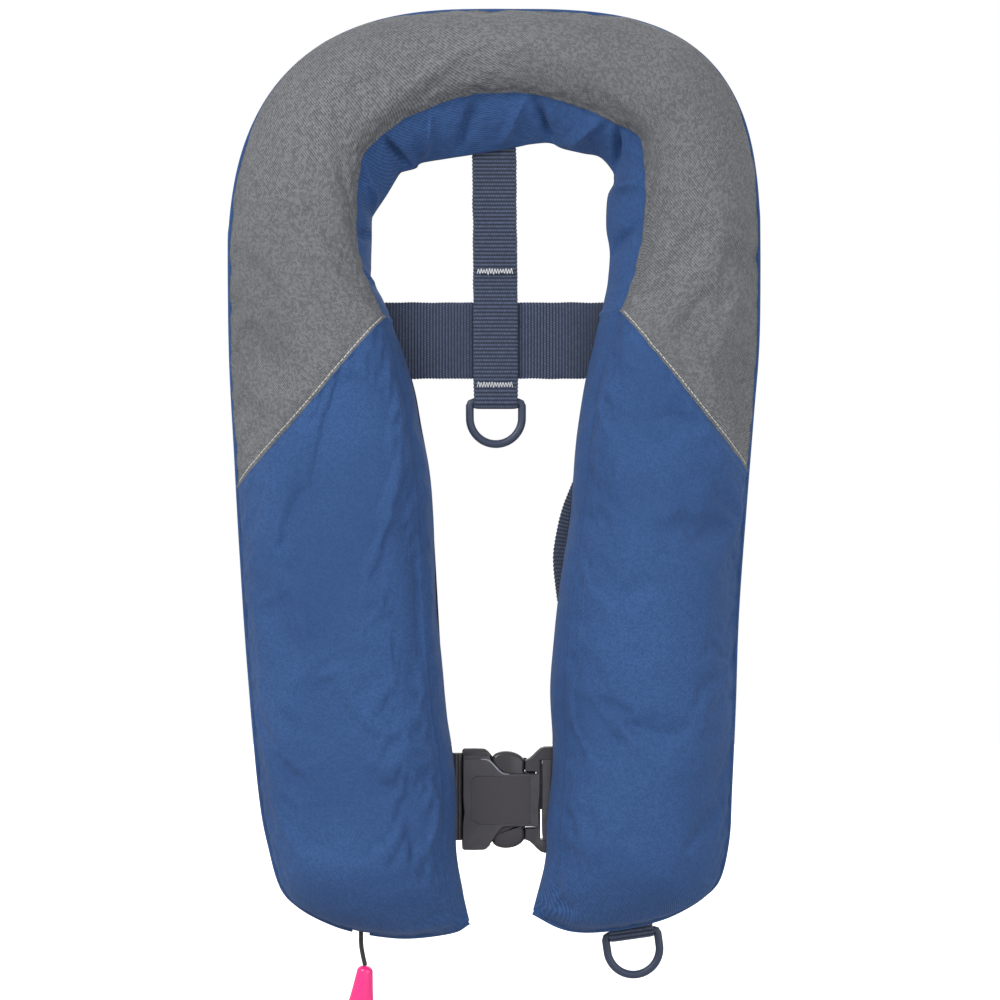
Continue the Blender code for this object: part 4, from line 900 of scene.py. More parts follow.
cover = {
    "width": 347.0, "top": 92.0, "widest": -88.0, "cornerPower": {"left": 2.7, "right": 3.3},
    "seamOuter": {"left": -219.5, "right": -208.5}, "seamInner": {"left": -111.0, "right": -107.0},
    "crown": -32.0, "edge": 12.5, "ridge": -14.0, "lobeRidge": -9.0, "wallBack": 15.2, "hemFade": 0.16,
    "edgeInset": 2.6, "strip": 9.0, "lowestFold": 2.2, "stitchGap": 2.7,
    "outer": {
        "left": [(172.4, -135), (169, -200), (166, -255), (160.6, -336), (153, -420), (146.5, -455),
                 (139, -480), (127.4, -492.7), (109.8, -502.5), (89.7, -509), (58.5, -513),
                 (27.3, -509.5), (15.6, -503.5)],
        "right": [(172.8, -122), (169, -174), (160, -291), (157.3, -363), (155, -415), (153.4, -447),
                  (147.6, -473.5), (136.5, -486.2), (120.9, -496), (104, -502.5), (80, -507.5),
                  (58, -509), (42, -506), (24.7, -497)],
    },
    "inner": {
        "left": [(0, -0.4), (15.2, -3), (32, -5.6), (47.7, -8.4), (50.5, -11.6), (60.3, -14.3), (62.2, -16.5),
                 (70, -29.5), (78.3, -42), (79.4, -46), (79.5, -58), (80, -76), (79.6, -87.3), (70.9, -100.6),
                 (54, -147), (47.5, -178), (41, -222), (34.4, -330), (31, -365), (26.7, -393), (24.3, -420),
                 (24.7, -460), (15.6, -503.5)],
        "right": [(0, -0.4), (14, 2.2), (23.9, 4.2), (36.5, 4.9), (44.5, 1.3), (58, -2), (69, -4.4),
                  (77.2, -13.6), (77.9, -18), (77.7, -22.3), (73.9, -30), (73, -48.8), (75.4, -62), (76, -70),
                  (74.8, -84), (72.4, -95.9), (62.4, -135), (54.6, -185), (48.8, -239), (43, -285),
                  (37.1, -343), (38, -388), (34.8, -435), (33.8, -460), (24.7, -497)],
    },
    "ridgeLine": {
        "left": [(0, 34.4), (15, 33.4), (33.3, 28.2), (56.8, 18.4), (72.6, 6.6), (82.6, -2.8), (84.6, -6.5),
                 (87.6, -19.6), (89, -43.2), (87.6, -66.7), (81.8, -87.8), (70.7, -111)],
        "right": [(0, 34.4), (16, 34.6), (32.2, 32.2), (49.2, 27.6), (71.5, 18.4), (87.3, 10.5), (93.6, 6.2),
                  (95.4, 2.5), (97.7, -19.6), (97.7, -43.2), (94.5, -66.7), (88.5, -90.3), (81.9, -107)],
    },
    "frontColumns": 30, "wallColumns": 7, "lobeRows": 56, "yokeRows": 50, "finer": 4,
}
signs = {"left": -1.0, "right": 1.0}


class CoverSide:
    # one half of the cover: outlines from the top centre down to the hem
    def __init__(self, side):
        sign = signs[side]
        self.side, self.sign = side, sign
        turns = np.radians(90 - 90 * np.arange(24) / 24)
        power = 2 / cover["cornerPower"][side]
        rise = cover["top"] - cover["widest"]
        collar = np.stack([cover["width"] / 2 * np.cos(turns) ** power,
                           cover["widest"] + rise * np.sin(turns) ** power], axis=1)
        flip = np.array([sign, 1.0])
        self.silhouette = smoothLine(np.vstack([collar, cover["outer"][side]]) * flip, 10)
        inner = smoothLine(np.array(cover["inner"][side], float) * flip, 12)
        ridge = smoothLine(np.array(cover["ridgeLine"][side], float) * flip, 12)
        panel = insetLine(self.silhouette, cover["edgeInset"], sign)
        panel[0, 0] = 0.0
        tip = self.silhouette[-1]
        self.outerYoke, rest = cutAtLevel(panel, cover["seamOuter"][side])
        corner = int(np.argmax(np.abs(rest[:, 0]) - rest[:, 1]))
        self.innerYoke, low = cutAtLevel(inner, cover["seamInner"][side])
        self.innerLobe, _ = cutAtLevel(low, tip[1] + 3.0)
        strip = insetLine(self.innerLobe, -cover["strip"], sign)
        start = int(len(strip) * 0.12)
        self.ridgeYoke = ridge
        bend = smoothLine([ridge[-1], strip[start]], 12)[:-1]
        self.ridgeLobe = np.vstack([bend, strip[start:]])
        self.outerLobe = rest[: corner + 1]
        hem = rest[corner:]
        near = int(np.argmin(np.linalg.norm(hem - self.ridgeLobe[-1], axis=1)))
        self.ridgeLobe[-1] = hem[near]
        self.hem = hem[: near + 1]

    def yokeFlat(self, u, t):
        outer, ridge = along(self.outerYoke, t), along(self.ridgeYoke, t)
        return mixed(outer[:, None], ridge[:, None], u[None, :, None])

    def lobeFlat(self, u, v):
        topRow = mixed(self.outerLobe[0], self.ridgeLobe[0], u[:, None])
        lowRow = along(self.hem, u)
        left, right = along(self.outerLobe, v), along(self.ridgeLobe, v)
        uu, vv = u[None, :, None], v[:, None, None]
        corners = mixed(topRow[None], mixed(self.hem[0], self.hem[-1], u[:, None])[None], vv)
        return mixed(topRow[None], lowRow[None], vv) + mixed(left[:, None], right[:, None], uu) - corners


def hemFade(v):
    return np.sin(np.pi / 2 * np.minimum(1.0, np.maximum(0.0, 1 - v) / cover["hemFade"])) ** 0.6


def frontDepth(u, ridge, fade):
    # steep at the outer edge and fullest at the middle
    edge = cover["edge"]
    fullness = (mixed(edge, ridge, 0.5) - cover["crown"]) * fade
    return mixed(edge, ridge, u) - fullness * np.maximum(0.0, 4 * u * (1 - u)) ** 0.55


def easedShares(count):
    # columns crowd towards the outer edge and the ridge, where the surface turns
    t = np.linspace(0, 1, count)
    return 0.5 - 0.5 * np.cos(np.pi * t) * (1 - 0.25 * np.sin(np.pi * t))


def standing(flat, depths):
    # flat pattern points (x, z) with their depths y
    return np.stack([flat[..., 0], depths, flat[..., 1]], axis=-1)


def wallPart(ridge3, inner, backY, sag):
    # the inner wall from the ridge back to the edge, bulging a little
    w = np.linspace(0, 1, cover["wallColumns"] + 1)[1:]
    flat = ridge3[:, [0, 2]]
    p = mixed(flat[:, None], inner[:, None], w[None, :, None])
    direction = inner - flat
    direction /= np.maximum(np.linalg.norm(direction, axis=1)[:, None], 1e-9)
    bulge = np.sin(np.pi * w)[None, :, None]
    p = p + direction[:, None] * bulge * 1.5 * sag[:, None, None]
    y = mixed(ridge3[:, 1][:, None], backY[:, None], w[None, :])
    return standing(p, y - 3.0 * np.sin(np.pi * w)[None] * sag[:, None])


def halfGrid(half):
    # rows from the collar's top centre down to the hem; columns from the outer edge to the inner back edge
    u = easedShares(cover["frontColumns"] + 1)
    t = np.linspace(0, 1, cover["yokeRows"] + 1)
    flat = half.yokeFlat(u, t)
    front = standing(flat, np.repeat(frontDepth(u, cover["ridge"], 1.0)[None], len(t), axis=0))
    back = np.full(len(t), cover["wallBack"])
    wall = wallPart(front[:, -1], along(half.innerYoke, t), back, np.ones(len(t)))
    yoke = np.concatenate([front, wall], axis=1)

    v = np.linspace(0, 1, cover["lobeRows"] + 1)
    flat = half.lobeFlat(u, v)
    fade = hemFade(v)
    settled = mixed(cover["ridge"], cover["lobeRidge"], np.minimum(1.0, v / 0.15))
    ridge = mixed(cover["edge"], settled, fade)
    front = standing(flat, frontDepth(u[None], ridge[:, None], fade[:, None]))
    back = mixed(cover["edge"] + 1, cover["wallBack"], fade)
    wall = wallPart(front[:, -1], along(half.innerLobe, v), back, fade)
    lobe = np.concatenate([front, wall], axis=1)
    return yoke, lobe


padding = {"frames": 18, "pressure": 2.2, "slack": 0.018, "cap": 4.5, "stiffness": 9.0, "wallShare": 0.35}


def puffed(grid, name, pinnedRows, pinnedColumns):
    # cloth simulation: the sewn edges are held, the panel between them swells and finds its own folds
    rows, columns = grid.shape[:2]
    made = fromArrays(name, grid.reshape(-1, 3), gridFaces(rows, columns), finishes["blue"])
    held = made.vertex_groups.new(name="sewn")
    number = np.arange(rows * columns).reshape(rows, columns)
    sewn = set(number[:, pinnedColumns].ravel().tolist()) | set(number[pinnedRows].ravel().tolist())
    held.add([int(i) for i in sewn], 1.0, "REPLACE")
    cloth = made.modifiers.new("cloth", "CLOTH")
    settings = cloth.settings
    settings.quality = 5
    settings.mass = 0.3
    settings.tension_stiffness = 40
    settings.compression_stiffness = padding["stiffness"]
    settings.shear_stiffness = 8
    settings.bending_stiffness = 0.6
    settings.shrink_min = -padding["slack"]
    settings.use_pressure = True
    settings.uniform_pressure_force = padding["pressure"]
    settings.vertex_group_mass = "sewn"
    settings.effector_weights.gravity = 0.0
    cloth.collision_settings.use_self_collision = False
    cloth.point_cache.frame_start = 1
    cloth.point_cache.frame_end = padding["frames"]
    scene = bpy.context.scene
    for step in range(1, padding["frames"] + 1):
        scene.frame_set(step)
    evaluated = made.evaluated_get(bpy.context.evaluated_depsgraph_get())
    moved = np.empty(rows * columns * 3, np.float32)
    evaluated.data.vertices.foreach_get("co", moved)
    bpy.data.objects.remove(made, do_unlink=True)
    scene.frame_set(1)
    shift = moved.reshape(rows, columns, 3) * 1000.0 - grid
    shift[:, cover["frontColumns"] + 1:] *= padding["wallShare"]
    size = np.linalg.norm(shift, axis=2, keepdims=True)
    shift *= np.minimum(1.0, padding["cap"] / np.maximum(size, 1e-6))
    print(name, "simulated, furthest move", round(float(size.max()), 2), "mm")
    return grid + shift


def refined(grid, finer):
    # the same surface with more rows and columns, through a Catmull-Rom curve each way
    for _ in range(2):
        grid = smoothLine(grid.reshape(len(grid), -1), finer).reshape(-1, grid.shape[1], 3).swapaxes(0, 1)
    return grid


def faceNormals(grid):
    normal = np.cross(np.gradient(grid, axis=0), np.gradient(grid, axis=1))
    normal /= np.maximum(np.linalg.norm(normal, axis=2, keepdims=True), 1e-9)
    return normal


def noiseField(grid, size, seed, stretch=(1, 1, 1)):
    # smooth noise at each point; size is the wavelength in millimetres
    scale = np.array(stretch, float) / size
    flat = grid.reshape(-1, 3) * scale + seed
    return np.array([noise.noise(Vector(p)) for p in flat]).reshape(grid.shape[:2])


wrinkles = {
    # soft folds of the front panels: middle (x, z), reach along and across the fold, lean in degrees, depth
    "left": [(-62, -272, 34, 6, -28, -1.7), (-40, -300, 22, 5, 62, -1.3), (-120, -255, 46, 9, 18, -1.2),
             (-96, -452, 52, 11, 22, -2.4), (-66, -398, 40, 8, 36, -1.6), (-130, -370, 28, 8, -12, 1.2),
             (-56, -330, 26, 6, -60, 1.2), (-112, -318, 40, 10, 30, 1.1), (-60, -478, 30, 6, 8, -1.4)],
    "right": [(66, -212, 30, 6, 30, -1.3), (58, -250, 24, 5, -62, -1.3), (120, -262, 46, 9, -16, -1.2),
              (96, -372, 44, 10, -24, -1.5), (62, -430, 36, 8, -40, -1.7), (128, -410, 34, 8, 12, 1.3),
              (108, -470, 38, 8, -10, -1.6), (60, -318, 26, 6, 58, 1.2), (140, -330, 30, 7, 70, -1.0)],
}
collarFolds = {
    # folds of the inner collar: share along that side of the collar, width as a share, depth, lean
    "left": [(0.10, 0.020, 3.4, 0.10), (0.24, 0.014, -3.0, 0.08), (0.36, 0.012, 4.0, -0.05),
             (0.52, 0.020, -2.6, 0.06), (0.68, 0.018, 2.6, -0.06), (0.84, 0.020, -1.8, 0.05)],
    "right": [(0.06, 0.018, -3.0, -0.08), (0.17, 0.013, 3.6, 0.10), (0.30, 0.020, -3.4, -0.08),
              (0.43, 0.014, 3.8, 0.08), (0.57, 0.018, -2.6, -0.05), (0.74, 0.022, 2.4, 0.07)],
}


def softFolds(grid, side, weight):
    push = np.zeros(grid.shape[:2])
    for x, z, reach, width, lean, depth in wrinkles[side]:
        turn = math.radians(lean)
        dx, dz = grid[:, :, 0] - x, grid[:, :, 2] - z
        alongFold = dx * math.cos(turn) + dz * math.sin(turn)
        acrossFold = -dx * math.sin(turn) + dz * math.cos(turn) + 0.004 * alongFold ** 2
        # one side of a fold falls away more gently than the other
        spread = np.where(acrossFold > 0, width, width * 1.9)
        push += depth * np.exp(-(alongFold / reach) ** 2) * np.exp(-(acrossFold / spread) ** 2)
    return push * weight


def seamEffects(grid, fromSeam, puckerSize, puckerDepth, seed):
    # short puckers that run square to a seam and fade away from it, with the seam itself drawn in
    fade = np.exp(-np.abs(fromSeam) / 9.0)
    puckers = noiseField(grid, puckerSize, seed, (1.0, 0.35, 1.0)) * puckerDepth * fade
    groove = -1.1 * np.exp(-(fromSeam / 1.5) ** 2)
    return puckers + groove


def makeCoverGrids():
    halves = {side: CoverSide(side) for side in signs}
    grids = {side: halfGrid(half) for side, half in halves.items()}
    parts = {"yoke": np.concatenate([grids["left"][0][::-1], grids["right"][0][1:]], axis=0)}
    parts.update({side: lobe for side, (_, lobe) in grids.items()})
    smooth = {name: refined(grid, cover["finer"]) for name, grid in parts.items()}
    edges = [0, cover["frontColumns"], -1]
    parts = {name: puffed(grid, f"{name}Pad", [0, -1], edges) for name, grid in parts.items()}
    return halves, parts, smooth


def heldOut(grid, smooth):
    # folds of the front sink no deeper than the padding behind the cloth lets them
    grid = grid.copy()
    front = slice(0, cover["frontColumns"] * cover["finer"] + 1)
    grid[:, front, 1] = np.minimum(grid[:, front, 1], smooth[:, front, 1] + cover["lowestFold"])
    return grid


def surfaceSteps(grid, ridgeColumn):
    # distances from the outer edge, from the ridge and from the first row, over the surface
    width = np.linalg.norm(np.diff(grid, axis=1), axis=2)
    across = np.concatenate([np.zeros((len(grid), 1)), np.cumsum(width, axis=1)], axis=1)
    step = np.linalg.norm(np.diff(grid, axis=0), axis=2)
    down = np.concatenate([np.zeros((1, grid.shape[1])), np.cumsum(step, axis=0)], axis=0)
    return across, across - across[:, ridgeColumn][:, None], down


def dressCover():
    halves, parts, smooth = makeCoverGrids()
    finer = cover["finer"]
    ridgeColumn = cover["frontColumns"] * finer
    surfaces = {}

    fine = refined(parts["yoke"], finer)
    normal = faceNormals(fine)
    rows = len(fine)
    middle = rows // 2
    across, fromRidge, down = surfaceSteps(fine, ridgeColumn)
    fromSeam = np.minimum(down, down[-1][None] - down)
    push = seamEffects(fine, fromSeam, 7.0, 0.9, 3.1) + seamEffects(fine, fromRidge, 8.0, 1.0, 5.7)
    push += seamEffects(fine, across, 9.0, 1.0, 8.2)
    push += noiseField(fine, 60.0, 1.7) * 1.5 * smoothStep(0, 25, np.minimum(across, np.abs(fromRidge)))
    # the wall's folds run from the ridge to the back edge
    share = np.abs(np.arange(rows) - middle) / middle
    wallShare = np.clip(fromRidge / np.maximum(fromRidge[:, -1:], 1e-6), 0, 1)
    swell = np.sin(np.pi * np.clip(wallShare * 1.05, 0, 1))
    for side, rowsOfSide in (("left", np.arange(rows) <= middle), ("right", np.arange(rows) >= middle)):
        for spot, wide, depth, lean in collarFolds[side]:
            shape = np.exp(-((share[:, None] - spot - lean * (wallShare - 0.5)) / wide) ** 2)
            push += 1.7 * depth * shape * swell * rowsOfSide[:, None]
    fine = heldOut(fine + normal * push[:, :, None], smooth["yoke"])
    surfaces["yoke"] = (fine, faceNormals(fine), clothPlace(smooth["yoke"]))

    for side, sign in signs.items():
        seamRow = surfaces["yoke"][0][0 if side == "left" else -1]
        fine = refined(parts[side], finer)
        normal = faceNormals(fine) * sign
        across, fromRidge, down = surfaceSteps(fine, ridgeColumn)
        fromHem = down[-1][None] - down
        seed = 11.3 if side == "left" else 23.9
        inside = smoothStep(0, 18, np.minimum(np.minimum(across, np.abs(fromRidge)), fromHem))
        push = seamEffects(fine, down, 7.0, 0.9, seed) + seamEffects(fine, fromRidge, 8.0, 0.8, seed + 2)
        push += seamEffects(fine, across, 10.0, 1.1, seed + 4)
        push += seamEffects(fine, fromHem, 9.0, 1.0, seed + 6)
        push += noiseField(fine, 55.0, seed + 8) * 1.6 * inside
        push += softFolds(fine, side, inside * (fromRidge < 0))
        fine = heldOut(fine + normal * push[:, :, None], smooth[side])
        # the lobe's top row is the yoke's last row, and the rows below ease into it
        fine = fine + (seamRow - fine[0])[None] * np.exp(-down / 7.0)[:, :, None]
        surfaces[side] = (fine, faceNormals(fine) * sign, clothPlace(smooth[side]))
    return halves, surfaces, ridgeColumn


halves, surfaces, ridgeColumn = dressCover()
print("cover surfaces ready")


def coverPieces():
    front, wall = slice(0, ridgeColumn + 1), slice(ridgeColumn, None)
    for part, name, columns, finish, node, fill in (
            ("yoke", "yokeCloth", front, "grey", "cover_yoke_front", 0.6),
            ("yoke", "collarWallCloth", wall, "blue", "cover_inner_collar", 0.4),
            ("left", "leftLobeFrontCloth", front, "blue", "cover_left_front", 0.6),
            ("left", "leftLobeWallCloth", wall, "blue", "cover_left_inner", 0.4),
            ("right", "rightLobeFrontCloth", front, "blue", "cover_right_front", 0.6),
            ("right", "rightLobeWallCloth", wall, "blue", "cover_right_inner", 0.4)):
        fine, _, place = surfaces[part]
        if part == "left":
            fine, place = fine[::-1], place[::-1]
        piece = clothPiece(name, fine[:, columns], finishes[finish], place[:, columns])
        declare(piece, "root", f"cover_{finish}", node, fill=fill)


coverPieces()


# Sewing.

def stitches(name, line, outward, finish, dash=2.3, pitch=3.2, radius=0.28, lift=0.12, slot="thread_white"):
    # a run of sewing: short rounded lengths of thread that dip into the cloth at both ends
    total = reaches(line)[-1]
    points, faces = [], []
    count, sections, sides = max(1, int(total / pitch)), 5, 6
    dip = np.array([-0.3, 0.55, 1.0, 0.55, -0.3]) * lift
    thick = np.array([0.55, 0.95, 1.0, 0.95, 0.55]) * radius
    turn = np.linspace(0, 2 * np.pi, sides, endpoint=False)
    for i in range(count):
        shares = (i * pitch + np.linspace(0, dash, sections)) / total
        if shares[-1] > 1:
            break
        p, out = along(line, shares), along(outward, shares * 0 + (i + 0.5) / count)
        _, side, out = framesAlong(p, out)
        for k in range(sections):
            ring = side[k] * np.cos(turn)[:, None] + out[k] * np.sin(turn)[:, None]
            points.append(p[k] + out[k] * dip[k] + ring * thick[k])
        base = i * sections * sides
        for k in range(sections - 1):
            for c in range(sides):
                a, b = base + k * sides + c, base + k * sides + (c + 1) % sides
                faces.append((a, b, b + sides, a + sides))
        faces.append(tuple(base + c for c in range(sides))[::-1])
        faces.append(tuple(base + (sections - 1) * sides + c for c in range(sides)))
    declare(fromArrays(name, np.vstack(points), faces, finish), "root", slot)


def surfaceLine(surface, rowsAndColumns):
    # points and normals of a cover surface at fractional (row, column) places
    grid, normal = surface[:2]
    places = np.asarray(rowsAndColumns, float)
    r = np.clip(places[:, 0], 0, len(grid) - 1.001)
    c = np.clip(places[:, 1], 0, grid.shape[1] - 1.001)
    r0, c0 = r.astype(int), c.astype(int)
    fr, fc = (r - r0)[:, None], (c - c0)[:, None]
    found = []
    for field in (grid, normal):
        top = mixed(field[r0, c0], field[r0, c0 + 1], fc)
        low = mixed(field[r0 + 1, c0], field[r0 + 1, c0 + 1], fc)
        found.append(mixed(top, low, fr))
    return found


def sewCover():
    yoke = surfaces["yoke"]
    rows = len(yoke[0])
    columns = np.linspace(2.5, ridgeColumn - 2.0, 160)
    # topstitching on the grey side of both diagonal seams
    rowGap = np.linalg.norm(yoke[0][1, ridgeColumn // 2] - yoke[0][0, ridgeColumn // 2])
    offset = cover["stitchGap"] / rowGap
    for side, row in (("left", offset), ("right", rows - 1 - offset)):
        line, out = surfaceLine(yoke, np.stack([np.full(160, row), columns], axis=1))
        stitches(f"{side}SeamStitches", line, out, finishes["paleThread"], pitch=3.15, radius=0.5, lift=0.45)
    # blue stitching beside each lobe's inner seam
    for side in ("left", "right"):
        surface = surfaces[side]
        rows = np.linspace(4, len(surface[0]) - 6, 300)
        line, out = surfaceLine(surface, np.stack([rows, np.full(300, ridgeColumn - 7.0)], axis=1))
        stitches(f"{side}WallStitches", line, out, finishes["blueThread"], dash=2.0, pitch=3.0, radius=0.2,
                 slot="cover_blue")


sewCover()


# the tape stops on both sides of the pull cord's gap in the hem
binding = {"reach": 5.6, "thick": 3.4, "gap": ((-80.5, -510.5), (-92.5, -509.0))}


def bindingProfile(reach, thick):
    # a folded tape: round at the outer edge, thinner where it is sewn down
    turn = np.radians(np.linspace(-90, 90, 9))
    nose = np.stack([np.cos(turn) * thick / 2, np.sin(turn) * thick / 2], axis=1) + (-thick / 2, 0)
    tail = [(-reach * 0.5, thick / 2 * 0.92), (-reach * 0.86, thick / 2 * 0.72), (-reach, thick / 2 * 0.5),
            (-reach, -thick / 2 * 0.5), (-reach * 0.86, -thick / 2 * 0.72), (-reach * 0.5, -thick / 2 * 0.92)]
    return np.vstack([nose, tail])


def makeBinding():
    left, right = halves["left"].silhouette, halves["right"].silhouette
    whole = np.vstack([left[::-1], right[1:]])
    gapStart, gapEnd = (int(np.argmin(np.linalg.norm(whole - end, axis=1))) for end in binding["gap"])
    for name, node, flat in (("edgeBinding", "edge_binding", whole[gapEnd:]),
                             ("hemBindingLeft", "hem_binding_left", whole[: gapStart + 1])):
        flat = evenly(flat, 2.0)
        line = standing(flat, np.full(len(flat), cover["edge"] + 1.0))
        line[:, 1] += np.array([noise.noise(Vector((p[0] / 26, p[1] / 26, 4.0))) for p in flat]) * 0.7
        out = np.gradient(flat, axis=0)
        out = np.stack([-out[:, 1], np.zeros(len(flat)), out[:, 0]], axis=1)
        _, _, outward = framesAlong(line, out)
        tape = bindingProfile(binding["reach"], binding["thick"])
        declare(sweep(name, line, out, tape[:, ::-1], finishes["blue"]), "root", "cover_blue", node)
        seam = line + outward * (-binding["reach"] * 0.72)
        seam[:, 1] -= binding["thick"] * 0.41
        stitches(name + "Stitches", seam, towardsFront(line), finishes["blueThread"], dash=2.2, radius=0.2,
                 slot="cover_blue")


makeBinding()


def makeBackPanel():
    # the flat lining that closes the cover's back, lightly rippled between its edges
    rows, u = np.linspace(0, 1, 260), np.linspace(0, 1, 44)[None]

    def oneLine(*lines):
        joined = [along(line, np.linspace(0, 1, count))[skip:] for line, count, skip in lines]
        return along(np.vstack(joined), rows)

    parts = []
    for half in (halves["left"], halves["right"]):
        outer = oneLine((half.outerYoke, 120, 0), (half.outerLobe, 110, 1), (half.hem, 50, 1))
        inner = oneLine((half.innerYoke, 120, 0), (half.innerLobe, 159, 1))
        parts.append(mixed(outer[:, None], inner[:, None], u[:, :, None]))
    flat = np.concatenate([parts[0][::-1], parts[1][1:]], axis=0)
    grid = standing(flat, np.full(flat.shape[:2], 17.4))
    inside = smoothStep(0, 0.08, u) * smoothStep(0, 0.08, 1 - u)
    grid[:, :, 1] += (noiseField(grid, 38.0, 31.0) * 1.3 + noiseField(grid, 13.0, 37.0) * 0.4) * inside
    grid[:, :, 1] -= 1.4 * (1 - smoothStep(0, 0.04, u)) + 1.4 * (1 - smoothStep(0, 0.04, 1 - u))
    made = clothPiece("backLining", grid[::-1], finishes["lining"], clothPlace(grid[::-1]))
    declare(made, "root", "lining_black", "cover_back_panel")


makeBackPanel()
print("cover sewn")


# Webbing.

web = {
    "thick": 1.8, "gap": 0.3, "beltWidth": 50.0, "strapWidth": 28.8, "beltPitch": 2.05, "strapPitch": 2.5,
    "panelY": 19.2, "loopX": 110.5, "loopWidth": 14.0, "liftWidth": 24.0, "endReach": 39.0, "buckleBar": 4.0,
    "buckleY": 31.0, "middleY": 41.0, "backY": 32.0, "backLevel": -123.0, "buckleLevel": -423.7,
    "foldX": 132.5, "topFoldX": 138.0, "backReach": 112.0, "startX": 68.0,
    "bend": {"left": (-72.0, -271.0), "right": (64.0, -271.0)},
}


def unit(v):
    v = np.asarray(v, float)
    return v / np.linalg.norm(v)


class Ribbon:
    # webbing laid in runs, bends and folds, each at its own depth
    def __init__(self, start, heading, width):
        self.p = np.array(start, float)
        self.t = unit((heading[0], 0, heading[1]))
        self.face, self.width, self.stations = 1.0, width, []
        self.mark(self.across(), np.array([0.0, 1.0, 0.0]))

    def across(self):
        return np.cross((0, 1, 0), self.t) * self.width / 2

    def mark(self, reach, normal):
        self.stations.append((self.p.copy(), reach.copy(), normal * self.face))

    def follow(self, points, steps=14):
        line = smoothLine([(self.p[0], self.p[2])] + list(points), steps)
        for i in range(1, len(line)):
            ahead = line[min(i + 1, len(line) - 1)] - line[i - 1]
            self.t = unit((ahead[0], 0, ahead[1]))
            self.p = np.array([line[i][0], self.p[1], line[i][1]])
            self.mark(self.across() * self.face, np.array([0.0, 1.0, 0.0]))

    def fold(self, heading, radius, side, exitAt=None, steps=20):
        leave = unit((heading[0], 0, heading[1]))
        crease = unit(self.t + leave)
        lengthwise = self.t @ crease
        crosswise = np.linalg.norm(self.t - crease * lengthwise)
        drift = crease * (radius * math.pi * lengthwise / crosswise)
        over = unit(self.t - crease * lengthwise)
        reach = crease * (self.width / 2 / crosswise)
        if reach @ (self.across() * self.face) < 0:
            reach = -reach
        if exitAt:
            self.p = np.array([exitAt[0], self.p[1], exitAt[1]]) - drift
        start = self.p.copy()
        for i in range(steps + 1):
            turn = math.pi * i / steps
            shift = over * math.sin(turn) + np.array([0, side, 0]) * (1 - math.cos(turn))
            self.p = start + shift * radius + drift * (i / steps)
            self.mark(reach, np.array([0, math.cos(turn), 0]) - over * math.sin(turn) * side)
        self.t = leave
        self.face = -self.face


def foldedStations(path, across, width):
    path = np.asarray(path, float)
    side = unit(across) * width / 2
    tangent = np.gradient(path, axis=0)
    return [(p, side, unit(np.cross(across, t))) for p, t in zip(path, tangent)]


def webbingPiece(name, stations, width, finish, body, node, flutter=0.12, seed=1.0):
    # two-sided woven tape: crosswise ribs on both faces, soft edges that wander a little
    pitch = web[finish + "Pitch"]
    centre, reach, normal = (np.array(part, float) for part in zip(*stations))
    total = reaches(centre)
    goal = np.linspace(0, total[-1], max(8, int(total[-1] / pitch * 7)))
    centre, reach, normal = (np.stack([np.interp(goal, total, part[:, k]) for k in range(3)], axis=1)
                             for part in (centre, reach, normal))
    normal /= np.linalg.norm(normal, axis=1)[:, None]
    w = np.sin(np.linspace(-np.pi / 2, np.pi / 2, 15))
    rib = np.sin(2 * np.pi * goal / pitch)
    wander = [np.array([noise.noise(Vector((g / 13, seed, k))) for g in goal]) for k in (0.0, 5.0, 9.0)]
    edge = np.where(w[None] < 0, wander[0][:, None], wander[1][:, None]) * 0.45 + rib[:, None] * 0.22
    spread = w[None] * (1 + edge * np.abs(w[None]) ** 3 / (width / 2))
    half = web["thick"] / 2 * (1 - 0.6 * np.abs(w[None]) ** 14)
    half = half + 0.17 * rib[:, None] * (1 - np.abs(w[None]) ** 8)
    middle = centre + normal * (wander[2] * flutter)[:, None]
    flat = middle[:, None] + reach[:, None] * spread[:, :, None]
    upper = flat + normal[:, None] * half[:, :, None]
    lower = flat - normal[:, None] * half[:, :, None]
    rings = np.concatenate([lower, upper[:, ::-1]], axis=1)
    v = np.concatenate([w, w[::-1]]) * width / 2
    made = fromArrays(name, rings.reshape(-1, 3), tubeFaces(*rings.shape[:2]), finishes[finish],
                      lengthsAndWidths(goal, v))
    faceOutwards(made, 70)
    declare(made, body, "webbing_navy", node)


def foldedPiece(name, node, path, across, width, finish, seed, body="root", flutter=0.0):
    webbingPiece(name, foldedStations(path, across, width), width, finish, body, node, flutter, seed)


def halfTurn(radius, steps=18):
    turn = np.linspace(0, np.pi, steps + 1)
    return np.stack([-radius * np.cos(turn), radius * np.sin(turn)], axis=1)


